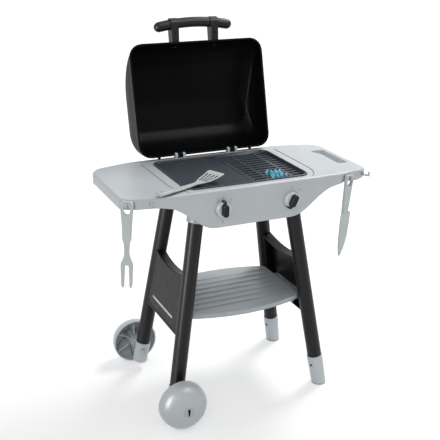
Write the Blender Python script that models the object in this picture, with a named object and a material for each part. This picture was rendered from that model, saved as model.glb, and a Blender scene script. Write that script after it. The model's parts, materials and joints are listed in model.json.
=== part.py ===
"""Toy barbecue grill on four splayed legs, two of them on wheels.

Metres, +Z up, front towards -Y. The pieces are modelled about the middle of the four legs on the
floor. At the end all of them are moved so that the origin lies under the middle of the whole object.
"""
import math

import bmesh
import bpy
from mathutils import Matrix, Vector

# Clearances and cuts
GAP = 0.0003
OVERRUN = 0.004
SEAM = 0.0014
SHARP_ANGLE = math.radians(35)
ROUND_SIDES = 16
SMALL_SIDES = 8
CORNER_STEPS = 4
EDGE_STEPS = 2
UPRIGHT_SHARE = 0.9
MIRRORED = ((-1, -1), (-1, 1), (1, -1), (1, 1))

# Table top: one moulding, open below
TABLE_TOP_Z = 0.470
SKIRT_DEPTH = 0.020
MOULDING_WALL = 0.0028
TABLE_EDGE_ROUND = 0.005
TABLE_EDGE_STEPS = 4
WING_END_X = 0.262
WING_FRONT_Y = 0.100
WING_REAR_Y = 0.106
FRONT_Y = 0.1135
REAR_Y = 0.129
FRONT_BEND_X = 0.185
REAR_BEND_X = 0.170
FRONT_BEND_RADIUS = 0.100
REAR_BEND_RADIUS = 0.150
FRONT_CORNER_RADIUS = 0.022
REAR_CORNER_RADIUS = 0.040

# Fascia: the front and rear skirts hang lower in the middle, with an S at each side
FASCIA_DROP = 0.075
FASCIA_FLAT_X = 0.080
FASCIA_LOW_PULL_X = 0.118
FASCIA_HIGH_PULL_X = 0.140
FASCIA_HIGH_PULL_DROP = 0.0255
FASCIA_SHOULDER_X = 0.186
FASCIA_SHOULDER_DROP = 0.0213
FASCIA_END_X = 0.200
FASCIA_STEPS = 8

# Well for the cooking insert
WELL_HALF_WIDTH = 0.132
WELL_FRONT_Y = 0.097
WELL_REAR_Y = 0.105
WELL_CORNER_RADIUS = 0.022
WELL_DEPTH = 0.008

# Ribs under the wings and the lines beside the well that the closed lid stands between
RIB_X = 0.156
RIB_DEPTH = 0.017
RIB_THICKNESS = 0.002
LID_LINE_X = 0.153
LID_LINE_WIDTH = 0.0022
LID_LINE_DEPTH = 0.0012
LID_LINE_REAR_Y = 0.103
LID_LINE_FRONT_Y = 0.1035
LID_LINE_CURVE_RADIUS = 0.085
LID_LINE_TURN = math.radians(42)

# Grip slot in the right wing
GRIP_FRONT_Y = 0.046
GRIP_REAR_Y = 0.0585
GRIP_OUTER_X = 0.2475
GRIP_FRONT_INNER_X = 0.2265
GRIP_REAR_INNER_X = 0.2150
GRIP_MIDDLE_INNER_X = 0.2285
GRIP_MIDDLE_Y = 0.024
GRIP_SMALL_RADIUS = 0.0045
GRIP_LARGE_RADIUS = 0.009
GRIP_COLLAR_DEPTH = 0.0105
GRIP_COLLAR_WALL = 0.0022
GRIP_EDGE = 0.0012

# Legs: splayed tubes whose axes pass through these places at the table top and at the floor
LEG_TOP_X = 0.0937
LEG_TOP_Y = 0.0661
LEG_FLOOR_X = 0.1687
LEG_FLOOR_Y = 0.1068
LEG_RADIUS = 0.015
LEG_WALL = 0.0022
LEG_END_DROP = 0.038
SPIGOT_RADIUS = 0.0132
SPIGOT_END_Z = 0.0305

# Sockets under the table top that the legs plug into
SOCKET_RADIUS = 0.0186
SOCKET_DROP = 0.073
SOCKET_PLUG = 0.0032
WEB_THICKNESS = 0.003
WEB_DROP = 0.062
WEB_OUTER_DROP = 0.037
WEB_FREE_X = 0.1075
WEB_FREE_Y = 0.0875

# Feet and axle sockets: sleeves round the lower ends of the legs
SLEEVE_TOP_Z = 0.066
SLEEVE_TOP_RADIUS = 0.0165
SLEEVE_LOW_RADIUS = 0.0152
SLEEVE_EDGE = 0.0007
AXLE_SOCKET_END_Z = 0.0195
FOOT_PIN_Z = 0.046
FOOT_PIN_RADIUS = 0.0018
FOOT_PIN_RECESS = 0.0012

# Leg screws through the sockets
LEG_SCREW_RISE = 0.0245
SCREW_RADIUS = 0.0015
SCREW_HEAD_RADIUS = 0.0032
SCREW_HEAD_HEIGHT = 0.0018

# Wheels, open on the side that faces the legs
WHEEL_RADIUS = 0.0483
WHEEL_PLANE_Y = 0.1383
WHEEL_DEPTH = 0.041
WHEEL_BAND = 0.006
WHEEL_WALL = 0.0025
WHEEL_SIDES = 24
DOME_POWER = 2.3
DOME_RADIUS_SHARES = (0.975, 0.91, 0.80, 0.64, 0.44)
HOLLOW_RADIUS_SHARES = (0.97, 0.84, 0.58)
HUB_RADIUS = 0.0125
HUB_REACH = 0.018
SPOKE_COUNT = 6
SPOKE_THICKNESS = 0.002
SPOKE_SETBACK = 0.007
AXLE_OUTSET = 0.003
AXLE_RADIUS = 0.004
AXLE_HEAD_RADIUS = 0.010
AXLE_HEAD_HEIGHT = 0.0022
AXLE_END_PLAY = 0.0008
AXLE_BARB = 0.0009
AXLE_TIP = 0.005
COIN_SLOT_WIDTH = 0.0022
COIN_SLOT_LENGTH = 0.0135
COIN_SLOT_DEPTH = 0.0014

# Side panels between the legs: shallow trays, open towards the inside
PANEL_LOW_Z = 0.165
PANEL_HIGH_Z = 0.292
PANEL_SAG = 0.013
PANEL_OUTSET = 0.012
PANEL_DEPTH = 0.020
PANEL_WALL = 0.0025
PANEL_EDGE = 0.002
PANEL_RIM = 0.0055
PANEL_FACE_DEPTH = 0.0008
PANEL_ARC_STEPS = 8
PANEL_PIN_DROP = 0.010
PANEL_PIN_RADIUS = 0.0015
PANEL_PIN_HEAD_RADIUS = 0.003
PANEL_PIN_HEAD_HEIGHT = 0.0015

# Shelf, carried by a tongue in a slot of each side panel
SHELF_TOP_Z = 0.206
SHELF_HALF_LENGTH = 0.1262
SHELF_END_HALF_DEPTH = 0.0795
SHELF_MID_HALF_DEPTH = 0.103
SHELF_WALL = 0.0026
SHELF_LIP = 0.0095
SHELF_BOW_STEPS = 10
SHELF_RIDGE_COUNT = 7
SHELF_RIDGE_PITCH = 0.0215
SHELF_RIDGE_WIDTH = 0.006
SHELF_RIDGE_HEIGHT = 0.0014
SHELF_RIDGE_END_GAP = 0.010
SHELF_SKIRT_HALF = 0.058
SHELF_SKIRT_DROP = 0.030
TONGUE_HALF = 0.055
TONGUE_DROP = 0.0098
TONGUE_THICKNESS = 0.0055
TONGUE_PLAY = 0.0005

# Cooking insert: flat griddle on the left, slotted grate on the right
INSERT_RIM_WIDTH = 0.0035
INSERT_RIM_RISE = 0.0022
INSERT_RIM_ROUND = 0.0009
INSERT_SURFACE_DROP = 0.0034
INSERT_PLATE = 0.003
INSERT_PLAY = 0.0006
RIDGE_LEFT_X = 0.0115
RIDGE_RIGHT_X = 0.0150
RIDGE_HEIGHT = 0.0009
SLOT_COLUMNS = ((0.0195, 0.0455), (0.0505, 0.0975), (0.1035, 0.1255))
SLOT_COUNT = 13
SLOT_FIRST_Y = 0.0845
SLOT_PITCH = 0.0145
SLOT_WIDTH = 0.009
FINGER_HOLE_X = 0.000
FINGER_HOLE_Y = 0.0925
FINGER_HOLE_LENGTH = 0.024
FINGER_HOLE_WIDTH = 0.0095
FINGER_RING_WIDTH = 0.0018
FINGER_RING_HEIGHT = 0.0012

# Lid: a bowl that leans back on its stops when open
LID_LEAN = math.radians(13.9)
LID_HALF_WIDTH = 0.149
LID_HEIGHT = 0.2314
LID_DOME_DEPTH = 0.082
LID_WALL = 0.0025
LID_CORNER_RADIUS = 0.027
LID_SIDE_DRAFT = 0.045
LID_CREST_H = 0.075
LID_SIDE_POWER = 5.0
LID_LOWER_POWER = 2.2
LID_UPPER_POWER = 1.7
LID_LIP = 0.0012
LID_LIP_DEPTH = 0.003
LID_DEPTH_SHARES = (0.10, 0.22, 0.36, 0.52, 0.67, 0.80, 0.89, 0.95, 0.985)
LID_HOLLOW_SHARES = (0.16, 0.40, 0.62, 0.80, 0.92, 0.97)

# Hinge: two ears of the table top on each side of a lug of the lid
HINGE_Y = 0.1208
HINGE_SETBACK = 0.005
HINGE_X = 0.060
LUG_RADIUS = 0.005
LUG_HALF_LENGTH = 0.0055
EAR_LENGTH = 0.0055
HINGE_PLAY = 0.0004
HINGE_PIN_RADIUS = 0.0018
HINGE_PIN_HEAD_RADIUS = 0.003
HINGE_PIN_HEAD_LENGTH = 0.0012
NOTCH_PLAY = 0.0009
STOP_X = 0.105
STOP_HALF_WIDTH = 0.0025
STOP_FRONT_Y = 0.1222
STOP_REAR_Y = 0.1272

# Handle on the lid: a bowed bar through the collars of two posts
HANDLE_DEPTH = 0.012
HANDLE_RISE = 0.0412
HANDLE_BOW = 0.0096
HANDLE_HALF_LENGTH = 0.087
HANDLE_RADIUS = 0.0105
HANDLE_STEPS = 8
HANDLE_END_STEPS = 3
POST_X = 0.0445
POST_COLLAR_RADIUS = 0.0124
POST_COLLAR_HALF = 0.0085
POST_FOOT_HALF = 0.007
POST_FOOT_FRONT = 0.0055
POST_FOOT_REAR = 0.0290
POST_FOOT_STEPS = 5
POST_SEAT = 0.0006
POST_COLLAR_STEPS = 10
POST_COLLAR_OPENING = math.radians(62)
POST_SLOT_HALF = 0.0016
POST_SLOT_RISE = 0.0061
POST_SLOT_LENGTH = 0.0165
HANDLE_SCREW_DEPTH = 0.0165
HANDLE_SCREW_LENGTH = 0.0085

# Knobs on the fascia: turning disc with a grip fin and a curved pointer
KNOB_DROP = 0.0375
LEFT_KNOB_X = -0.068
RIGHT_KNOB_X = 0.078
RIGHT_KNOB_TURN = math.radians(205)
KNOB_SIDES = 24
COLLAR_RADIUS = 0.0172
COLLAR_HEIGHT = 0.002
COLLAR_ROUND = 0.0008
DIAL_RADIUS = 0.015
DIAL_FRONT = 0.010
DIAL_ROUND = 0.0022
SHAFT_RADIUS = 0.0035
LEFT_SHAFT_REACH = 0.0085
RIGHT_SHAFT_REACH = 0.0165
FIN_HALF_WIDTH = 0.006
FIN_HALF_LENGTH = 0.0125
FIN_HEIGHT = 0.0095
FIN_ROUND = 0.0022
TAIL_HALF_WIDTH = 0.0025
TAIL_THICKNESS = 0.0026
TAIL_DROP = 0.006

# Click wheels and their springs behind the fascia
CLICK_TEETH = 16
CLICK_TIP_RADIUS = 0.0095
CLICK_ROOT_RADIUS = 0.0085
CLICK_THICKNESS = 0.004
SPRING_PAD_INNER = 0.012
SPRING_PAD_OUTER = 0.020
SPRING_PAD_LOW = 0.006
SPRING_PAD_HIGH = 0.0155
SPRING_LEAF = 0.0012
SPRING_LEAF_Z = 0.0125
SPRING_NIB_HALF = 0.0010

# Flame piece, its guide and the spiral cam that lifts it
FLAME_RISE = 0.0145
CAM_HIGH_RADIUS = 0.0205
CAM_RELIEF = 0.0008
CAM_REST_MARGIN = math.radians(10)
CAM_STEPS = 24
CAM_GAP_BEHIND_WHEEL = 0.0029
CAM_THICKNESS = 0.005
FLAME_LEFT_X = 0.049
FLAME_RIGHT_X = 0.0885
FLAME_FRONT_Y = 0.0895
FLAME_REAR_Y = 0.0495
FLAME_PLATE = 0.002
FLAME_NOSE_HALF = 0.001
FLAME_NOSE_DROP = 0.003
FLAME_ARM_HALF = 0.008
FLAME_TIP_RISE = 0.0085
FLAME_TONGUE_RADIUS = 0.0037
FLAME_TONGUE_SIDES = 6
FLAME_ROW_COUNTS = (4, 3, 4)
FLAME_PITCH = 0.0092
FLAME_HEIGHT_SHARES = (0.92, 0.86, 1.0, 0.9)
FLAME_FORM_SHARES = ((0.0, 0.75, 0.0), (0.45, 0.8, 0.0), (0.68, 1.0, 0.15),
                     (0.84, 0.88, 0.05), (0.95, 0.55, -0.15), (1.0, 0.2, -0.2))
GUIDE_WALL = 0.002
GUIDE_DROP = 0.0302
FLAME_OPENING_MARGIN = 0.0035

# Pegs for the tools: four bent hooks, each in a shallow pocket of the skirt
CORNER_PEG_ANGLE = math.radians(30)
FRONT_PEG_X = 0.2090
PEG_REACH = 0.013
PEG_DROP = 0.012
PEG_RADIUS = 0.0022
PEG_TIP_RISE = 0.0072
PEG_SIDES = 8
POCKET_HALF_WIDTH = 0.0125
POCKET_DEPTH = 0.003
POCKET_TOP_DROP = 0.0065
TOOL_STANDOFF = 0.0012

# Fork
FORK_LENGTH = 0.170
FORK_ABOVE_HOLE = 0.0172
FORK_HALF_WIDTH = 0.012
FORK_THICKNESS = 0.006
FORK_HANG = math.radians(1.7)
TOOL_HOLE_HALF_WIDTH = 0.0064
TOOL_HOLE_HALF_HEIGHT = 0.0088
TOOL_EDGE = 0.0014
FORK_HEAD_THICKNESS = 0.0036
FORK_HEAD_EDGE = 0.0008
FORK_HANDLE_SHARES = ((0.0, 0.72), (0.025, 1.0), (0.12, 0.95), (0.22, 0.82), (0.32, 0.74),
                      (0.435, 0.67), (0.475, 0.47), (0.53, 0.42))
FORK_HEAD_SHARES = ((0.50, 0.36), (0.55, 0.40), (0.61, 0.43), (0.66, 0.62), (0.71, 0.92),
                    (0.80, 0.93), (0.97, 0.86), (1.0, 0.74))
FORK_TINE_SHARES = ((1.0, 0.50), (0.97, 0.42), (0.80, 0.34), (0.745, 0.30), (0.735, 0.20))

# Knife
KNIFE_LENGTH = 0.172
KNIFE_ABOVE_HOLE = 0.0138
KNIFE_HALF_WIDTH = 0.0097
KNIFE_HANDLE_SHARE = 0.45
KNIFE_HANDLE_THICKNESS = 0.0075
KNIFE_BLADE_THICKNESS = 0.0024
KNIFE_HANG = math.radians(5.8)
KNIFE_HANDLE_SHARES = ((0.0, 0.75), (0.02, 1.0), (0.3, 0.8), (0.45, 0.65))
KNIFE_EDGE_SHARES = ((0.445, 1.5), (0.56, 1.55), (0.66, 1.5), (0.77, 1.37), (0.88, 0.98),
                     (0.95, 0.57), (0.985, 0.32), (1.0, 0.12))
KNIFE_SPINE_SHARES = ((0.985, -0.08), (0.95, -0.23), (0.88, -0.46), (0.77, -0.67), (0.66, -0.8),
                      (0.56, -0.85), (0.445, -0.85))

# Spatula, lying on the rim of the insert with its head arched up
SPATULA_END_X = -0.1963
SPATULA_END_Y = -0.1135
SPATULA_HEADING = math.radians(24.8)
SPATULA_LENGTH = 0.1615
SPATULA_ARCH = 0.010
SPATULA_HALF_WIDTH = 0.020
SPATULA_THICKNESS = 0.006
SPATULA_FORM_SHARES = ((0.0, 0.36, 0.20, 0.80), (0.012, 0.43, 0.19, 1.0), (0.16, 0.42, 0.14, 0.85),
                       (0.26, 0.38, 0.07, 0.60), (0.32, 0.37, 0.04, 0.50), (0.44, 0.33, 0.0, 0.44),
                       (0.56, 0.28, 0.0, 0.42), (0.64, 0.30, 0.0, 0.36), (0.70, 0.48, 0.05, 0.32),
                       (0.77, 0.72, 0.20, 0.30), (0.88, 0.88, 0.48, 0.30), (0.975, 1.0, 0.86, 0.30),
                       (1.0, 0.94, 0.94, 0.30))
SPATULA_PIVOT_SHARE = 0.5
SPATULA_HOLE_SHARE = 0.06
SPATULA_HOLE_RADIUS = 0.0028
SPATULA_SLOT_COUNT = 4
SPATULA_SLOT_START_SHARE = 0.735
SPATULA_SLOT_END_SHARE = 0.93
SPATULA_SLOT_START_PITCH = 0.0052
SPATULA_SLOT_END_PITCH = 0.0086
SPATULA_SLOT_HALF_WIDTH = 0.0018

# Heights that follow from the sizes above
FASCIA_BOTTOM_Z = TABLE_TOP_Z - FASCIA_DROP
SKIRT_BOTTOM_Z = TABLE_TOP_Z - SKIRT_DEPTH
LEG_END_Z = TABLE_TOP_Z - LEG_END_DROP
SOCKET_BOTTOM_Z = TABLE_TOP_Z - SOCKET_DROP
LEG_SCREW_Z = SOCKET_BOTTOM_Z + LEG_SCREW_RISE
PANEL_PIN_Z = PANEL_HIGH_Z - PANEL_PIN_DROP
TONGUE_TOP_Z = SHELF_TOP_Z - TONGUE_DROP
INSERT_RIM_Z = TABLE_TOP_Z + INSERT_RIM_RISE
INSERT_SURFACE_Z = TABLE_TOP_Z - INSERT_SURFACE_DROP
KNOB_Z = TABLE_TOP_Z - KNOB_DROP
FLAME_TIP_Z = TABLE_TOP_Z + FLAME_TIP_RISE
GUIDE_BOTTOM_Z = TABLE_TOP_Z - GUIDE_DROP
PEG_Z = TABLE_TOP_Z - PEG_DROP

# Finishes: base colour, roughness, metallic
LIGHT_GREY = ("light_grey_plastic", (0.56, 0.60, 0.62), 0.42, 0.0)
DARK_GREY = ("dark_grey_plastic", (0.10, 0.11, 0.13), 0.45, 0.0)
BLACK = ("black_plastic", (0.015, 0.015, 0.017), 0.35, 0.0)
TOOL_GREY = ("pale_tool_plastic", (0.48, 0.53, 0.53), 0.40, 0.0)
FLAME_BLUE = ("flame_blue_plastic", (0.16, 0.55, 0.68), 0.35, 0.0)
WHITE_PLASTIC = ("natural_plastic", (0.70, 0.70, 0.66), 0.40, 0.0)
STEEL = ("zinc_steel", (0.55, 0.55, 0.56), 0.30, 1.0)


def clear_scene():
    for thing in list(bpy.data.objects):
        bpy.data.objects.remove(thing)


def finish_material(finish):
    """The Principled material of a finish, made once."""
    name, colour, roughness, metallic = finish
    material = bpy.data.materials.get(name)
    if material is None:
        material = bpy.data.materials.new(name)
        material.use_nodes = True
        shader = material.node_tree.nodes["Principled BSDF"]
        shader.inputs["Base Color"].default_value = (*colour, 1)
        shader.inputs["Roughness"].default_value = roughness
        shader.inputs["Metallic"].default_value = metallic
    return material


def finished(thing, finish, pivot=None):
    """Give a piece its material, its shading and, if it moves, its origin on the joint's axis."""
    thing.data.materials.clear()
    thing.data.materials.append(finish_material(finish))
    thing.data.shade_smooth()
    thing.data.set_sharp_from_angle(angle=SHARP_ANGLE)
    if pivot is not None:
        thing.data.transform(Matrix.Translation(-Vector(pivot)))
        thing.location = pivot
    return thing


def lofted(name, loops, ring=False):
    """Closed skin over equal loops of points: capped at both ends, or joined end to end as a ring."""
    build = bmesh.new()
    rows = [[build.verts.new(point) for point in loop] for loop in loops]
    pairs = list(zip(rows, rows[1:]))
    if ring:
        pairs.append((rows[-1], rows[0]))
    else:
        build.faces.new(rows[0][::-1])
        build.faces.new(rows[-1])
    for low, high in pairs:
        for i in range(len(low)):
            j = (i + 1) % len(low)
            build.faces.new((low[i], low[j], high[j], high[i]))
    bmesh.ops.recalc_face_normals(build, faces=build.faces)
    mesh = bpy.data.meshes.new(name)
    build.to_mesh(mesh)
    build.free()
    thing = bpy.data.objects.new(name, mesh)
    bpy.context.collection.objects.link(thing)
    return thing


def prism(name, outline, low, high, axis="Z"):
    """Outline drawn across an axis and extruded along it."""
    order = {"X": lambda a, b, c: (c, a, b), "Y": lambda a, b, c: (a, c, b), "Z": lambda a, b, c: (a, b, c)}
    place = order[axis]
    return lofted(name, [[place(a, b, level) for a, b in outline] for level in (low, high)])


def box(name, low, high):
    """Box between two opposite corners."""
    outline = ((low[0], low[1]), (high[0], low[1]), (high[0], high[1]), (low[0], high[1]))
    return prism(name, outline, low[2], high[2])


def axis_frame(origin, axis, lead):
    """Matrix whose Z runs along the axis and whose X points as near the lead as it can."""
    z_axis = Vector(axis).normalized()
    x_axis = (Vector(lead) - z_axis * z_axis.dot(Vector(lead))).normalized()
    y_axis = z_axis.cross(x_axis)
    return Matrix.Translation(origin) @ Matrix((x_axis, y_axis, z_axis)).transposed().to_4x4()


def turned(name, profile, frame, sides=ROUND_SIDES, ring=False):
    """Profile of (radius, height) pairs turned about the Z axis of a frame."""
    corners = [Vector((math.cos(turn), math.sin(turn), 0)) for turn in full_turn(sides)]
    loops = [[frame @ (corner * radius + Vector((0, 0, height))) for corner in corners]
             for radius, height in profile]
    return lofted(name, loops, ring)


def full_turn(count):
    return [math.tau * i / count for i in range(count)]


def rod(name, start, end, radius, sides=SMALL_SIDES):
    """Round rod from one place to another."""
    axis = Vector(end) - Vector(start)
    lead = Vector((0, 0, 1)) if abs(axis.z) < UPRIGHT_SHARE * axis.length else Vector((1, 0, 0))
    return turned(name, ((radius, 0), (radius, axis.length)), axis_frame(start, axis, lead), sides)


def swept(name, places, radii, lead, sides):
    """Round rod through several places, with its own radius at each and mitred bends."""
    loops = []
    for i, place in enumerate(places):
        before = (place - places[i - 1]).normalized() if i else None
        after = (places[i + 1] - place).normalized() if i + 1 < len(places) else None
        along = (before or after) + (after or before)
        frame = axis_frame(place, along, lead)
        stretch = 1 / math.cos((before or after).angle(along))
        ring = []
        for turn in full_turn(sides):
            ring.append(frame @ Vector((radii[i] * math.cos(turn), radii[i] * math.sin(turn), 0)))
        if stretch > 1:
            ring = [mitred(point, place, before, along) for point in ring]
        loops.append(ring)
    return lofted(name, loops)


def mitred(point, place, before, along):
    """Slide a point of a bend's loop along the incoming run until it lies in the mitre plane."""
    offset = point - place
    across = offset - before * offset.dot(before)
    across = across.normalized() * offset.length if across.length else across
    normal = along.normalized()
    return place + across - before * (across.dot(normal) / before.dot(normal))


def rounded_outline(corners, inset=0.0, steps=CORNER_STEPS):
    """Closed outline through (x, y, radius) corners, drawn in by an inset."""
    count = len(corners)
    spots = [Vector((x, y)) for x, y, radius in corners]
    area = sum(spots[i - 1].cross(spots[i]) for i in range(count))
    side = 1 if area > 0 else -1
    drawn = []
    for i in range(count):
        before = (spots[i] - spots[i - 1]).normalized()
        after = (spots[(i + 1) % count] - spots[i]).normalized()
        first = Vector((-before.y, before.x)) * side
        second = Vector((-after.y, after.x)) * side
        drawn.append(spots[i] + (first + second) * inset / (1 + first.dot(second)))
    points = []
    for i in range(count):
        back = (drawn[i - 1] - drawn[i]).normalized()
        ahead = (drawn[(i + 1) % count] - drawn[i]).normalized()
        convex = back.cross(ahead) * side < 0
        radius = corners[i][2]
        if not radius:
            points.append(tuple(drawn[i]))
            continue
        radius = max(radius - inset if convex else radius + inset, radius / 10)
        half = back.angle(ahead) / 2
        centre = drawn[i] + (back + ahead).normalized() * radius / math.sin(half)
        start = drawn[i] + back * radius / math.tan(half) - centre
        sweep = (math.pi - 2 * half) * side * (1 if convex else -1)
        for step in range(steps + 1):
            spoke = start.copy()
            spoke.rotate(Matrix.Rotation(sweep * step / steps, 2))
            points.append(tuple(centre + spoke))
    return points


def ellipse_outline(centre_x, centre_y, length, width, sides=ROUND_SIDES):
    return [(centre_x + length / 2 * math.cos(turn), centre_y + width / 2 * math.sin(turn))
            for turn in full_turn(sides)]


def soft_loops(corners, low, high, low_round=0.0, high_round=0.0, inset=0.0, steps=CORNER_STEPS,
               edge_steps=EDGE_STEPS):
    """Loops of an upright rounded slab whose lower and upper edges may be rounded over."""
    loops = []
    arc_shares = []
    for step in range(edge_steps + 1):
        turn = math.pi / 2 * step / edge_steps
        arc_shares.append((1 - math.sin(turn), 1 - math.cos(turn)))
    stages = []
    if low_round:
        stages += [(inward * low_round, low + rise * low_round) for inward, rise in arc_shares]
    else:
        stages.append((0.0, low))
    if high_round:
        stages += [(inward * high_round, high - rise * high_round) for inward, rise in arc_shares[::-1]]
    else:
        stages.append((0.0, high))
    for inward, level in stages:
        outline = rounded_outline(corners, inset + inward, steps)
        loops.append([(x, y, level) for x, y in outline])
    return loops


def mirrored_corners(corners):
    """Right-hand corners, front to rear, completed by their mirror images on the left."""
    return list(corners) + [(-x, y, radius) for x, y, radius in reversed(corners)]


def combine(target, tools, operation):
    """Cut the tools from the target or weld them to it, one by one."""
    for tool in tools:
        step = target.modifiers.new("step", "BOOLEAN")
        step.operation = operation
        step.solver = "EXACT"
        step.object = tool
        bpy.context.view_layer.update()
        graph = bpy.context.evaluated_depsgraph_get()
        target.data = bpy.data.meshes.new_from_object(target.evaluated_get(graph))
        target.modifiers.clear()
        bpy.data.objects.remove(tool)
    return target


def cut(target, *tools):
    return combine(target, tools, "DIFFERENCE")


def weld(target, *tools):
    return combine(target, tools, "UNION")


# Legs and their axes


def leg_point(side, end, z):
    """Place on a leg's axis at a height. side is -1 left, 1 right; end is -1 front, 1 rear."""
    share = z / TABLE_TOP_Z
    x = LEG_FLOOR_X + (LEG_TOP_X - LEG_FLOOR_X) * share
    y = LEG_FLOOR_Y + (LEG_TOP_Y - LEG_FLOOR_Y) * share
    return Vector((side * x, end * y, z))


def leg_run(low_z, high_z):
    """Length along a leg between two heights."""
    return (leg_point(1, 1, high_z) - leg_point(1, 1, low_z)).length


def leg_frame(side, end, z):
    axis = leg_point(side, end, TABLE_TOP_Z) - leg_point(side, end, 0)
    return axis_frame(leg_point(side, end, z), axis, (side, 0, 0))


def leg_cutter(side, end, radius):
    """Full-length round cutter on a leg's axis."""
    frame = leg_frame(side, end, 0)
    run = leg_run(0, TABLE_TOP_Z)
    return turned("leg_cutter", ((radius, 0), (radius, run)), frame)


def make_leg(name, side, end):
    top = leg_run(SLEEVE_TOP_Z, LEG_END_Z)
    bottom = -leg_run(SPIGOT_END_Z, SLEEVE_TOP_Z)
    inner = LEG_RADIUS - LEG_WALL
    spigot_inner = SPIGOT_RADIUS - LEG_WALL
    profile = ((SPIGOT_RADIUS, bottom), (SPIGOT_RADIUS, GAP), (LEG_RADIUS, GAP), (LEG_RADIUS, top),
               (inner, top), (inner, GAP + LEG_WALL), (spigot_inner, GAP), (spigot_inner, bottom))
    leg = turned(name, profile, leg_frame(side, end, SLEEVE_TOP_Z), ring=True)
    cut(leg, leg_screw_hole(side, end), panel_pin_hole(side, end))
    cut(leg, axle_hole(end) if side < 0 else foot_pin_hole(end))
    return finished(leg, BLACK)


def sleeve_profile(bottom, low_radius):
    """Sleeve from its lower end up, over its lip and down its bore."""
    bore = SPIGOT_RADIUS + GAP
    floor = -leg_run(SPIGOT_END_Z, SLEEVE_TOP_Z) - GAP
    return ((low_radius - SLEEVE_EDGE, bottom), (low_radius, bottom + SLEEVE_EDGE),
            (SLEEVE_TOP_RADIUS, -SLEEVE_EDGE), (SLEEVE_TOP_RADIUS - SLEEVE_EDGE, 0),
            (bore, 0), (bore, floor))


def make_foot(name, end):
    """Sleeve foot of a right leg, cut flat where it stands on the floor."""
    bottom = -leg_run(0, SLEEVE_TOP_Z) - OVERRUN
    foot = turned(name, sleeve_profile(bottom, SLEEVE_LOW_RADIUS), leg_frame(1, end, SLEEVE_TOP_Z))
    middle = leg_point(1, end, 0)
    reach = SLEEVE_TOP_RADIUS + OVERRUN
    ground = box("ground", (middle.x - reach, middle.y - reach, -reach),
                 (middle.x + reach, middle.y + reach, 0))
    cut(foot, ground, foot_pin_hole(end))
    return finished(foot, LIGHT_GREY)


def make_axle_socket(name, end):
    """Sleeve of a left leg that carries a wheel and ends above the floor."""
    bottom = -leg_run(AXLE_SOCKET_END_Z, SLEEVE_TOP_Z)
    socket = turned(name, sleeve_profile(bottom, SLEEVE_LOW_RADIUS), leg_frame(-1, end, SLEEVE_TOP_Z))
    cut(socket, axle_hole(end))
    return finished(socket, LIGHT_GREY)


def foot_pin_rod(name, end, near, far, radius):
    """Rod across the inner side of a right foot, between two distances from the leg's axis."""
    middle = leg_point(1, end, FOOT_PIN_Z)
    inward = Vector((-1, 0, 0))
    return rod(name, middle + inward * near, middle + inward * far, radius)


def foot_pin_hole(end):
    return foot_pin_rod("hole", end, 0, SLEEVE_TOP_RADIUS + OVERRUN, FOOT_PIN_RADIUS + GAP)


def make_foot_pin(name, end):
    near = SPIGOT_RADIUS - LEG_WALL - SEAM
    pin = foot_pin_rod(name, end, near, SLEEVE_TOP_RADIUS - FOOT_PIN_RECESS, FOOT_PIN_RADIUS)
    return finished(pin, DARK_GREY)


def leg_screw_axis(side, end):
    """Start on the leg's axis and direction, towards the middle, of a leg screw."""
    return leg_point(side, end, LEG_SCREW_Z), Vector((0, -end, 0))


def leg_screw_hole(side, end):
    start, inward = leg_screw_axis(side, end)
    return rod("hole", start, start + inward * (SOCKET_RADIUS + OVERRUN), SCREW_RADIUS + GAP)


def make_leg_screw(name, side, end):
    start, inward = leg_screw_axis(side, end)
    seat = SOCKET_RADIUS + 2 * GAP
    tip = LEG_RADIUS - LEG_WALL - SEAM
    profile = ((SCREW_RADIUS, tip), (SCREW_RADIUS, seat), (SCREW_HEAD_RADIUS, seat),
               (SCREW_HEAD_RADIUS, seat + SCREW_HEAD_HEIGHT / 2),
               (SCREW_RADIUS, seat + SCREW_HEAD_HEIGHT))
    frame = axis_frame(start, inward, (0, 0, 1))
    return finished(turned(name, profile, frame, SMALL_SIDES), STEEL)


# Wheels


def dome_depth(radius, rim, depth):
    """Depth of a domed wheel face at a radius."""
    share = max(0.0, 1 - (radius / rim) ** DOME_POWER)
    return WHEEL_BAND + (depth - WHEEL_BAND) * share ** (1 / DOME_POWER)


def axle_point(end, depth):
    """Place on a wheel's axle at a depth outward from the wheel's open side."""
    return Vector((-axle_x(), end * (WHEEL_PLANE_Y + depth), WHEEL_RADIUS))


def axle_x():
    return leg_point(1, 1, WHEEL_RADIUS).x + AXLE_OUTSET


def wheel_frame(end):
    return axis_frame(axle_point(end, 0), (0, end, 0), (0, 0, -1))


def axle_hole(end):
    inner = -WHEEL_PLANE_Y + leg_point(1, 1, WHEEL_RADIUS).y - SLEEVE_TOP_RADIUS - OVERRUN
    outer = inner + 2 * (SLEEVE_TOP_RADIUS + OVERRUN)
    return rod("hole", axle_point(end, inner), axle_point(end, outer), AXLE_RADIUS + GAP, ROUND_SIDES)


def recess_floor():
    recess = AXLE_HEAD_RADIUS + GAP
    return dome_depth(recess, WHEEL_RADIUS, WHEEL_DEPTH) - AXLE_HEAD_HEIGHT


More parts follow.
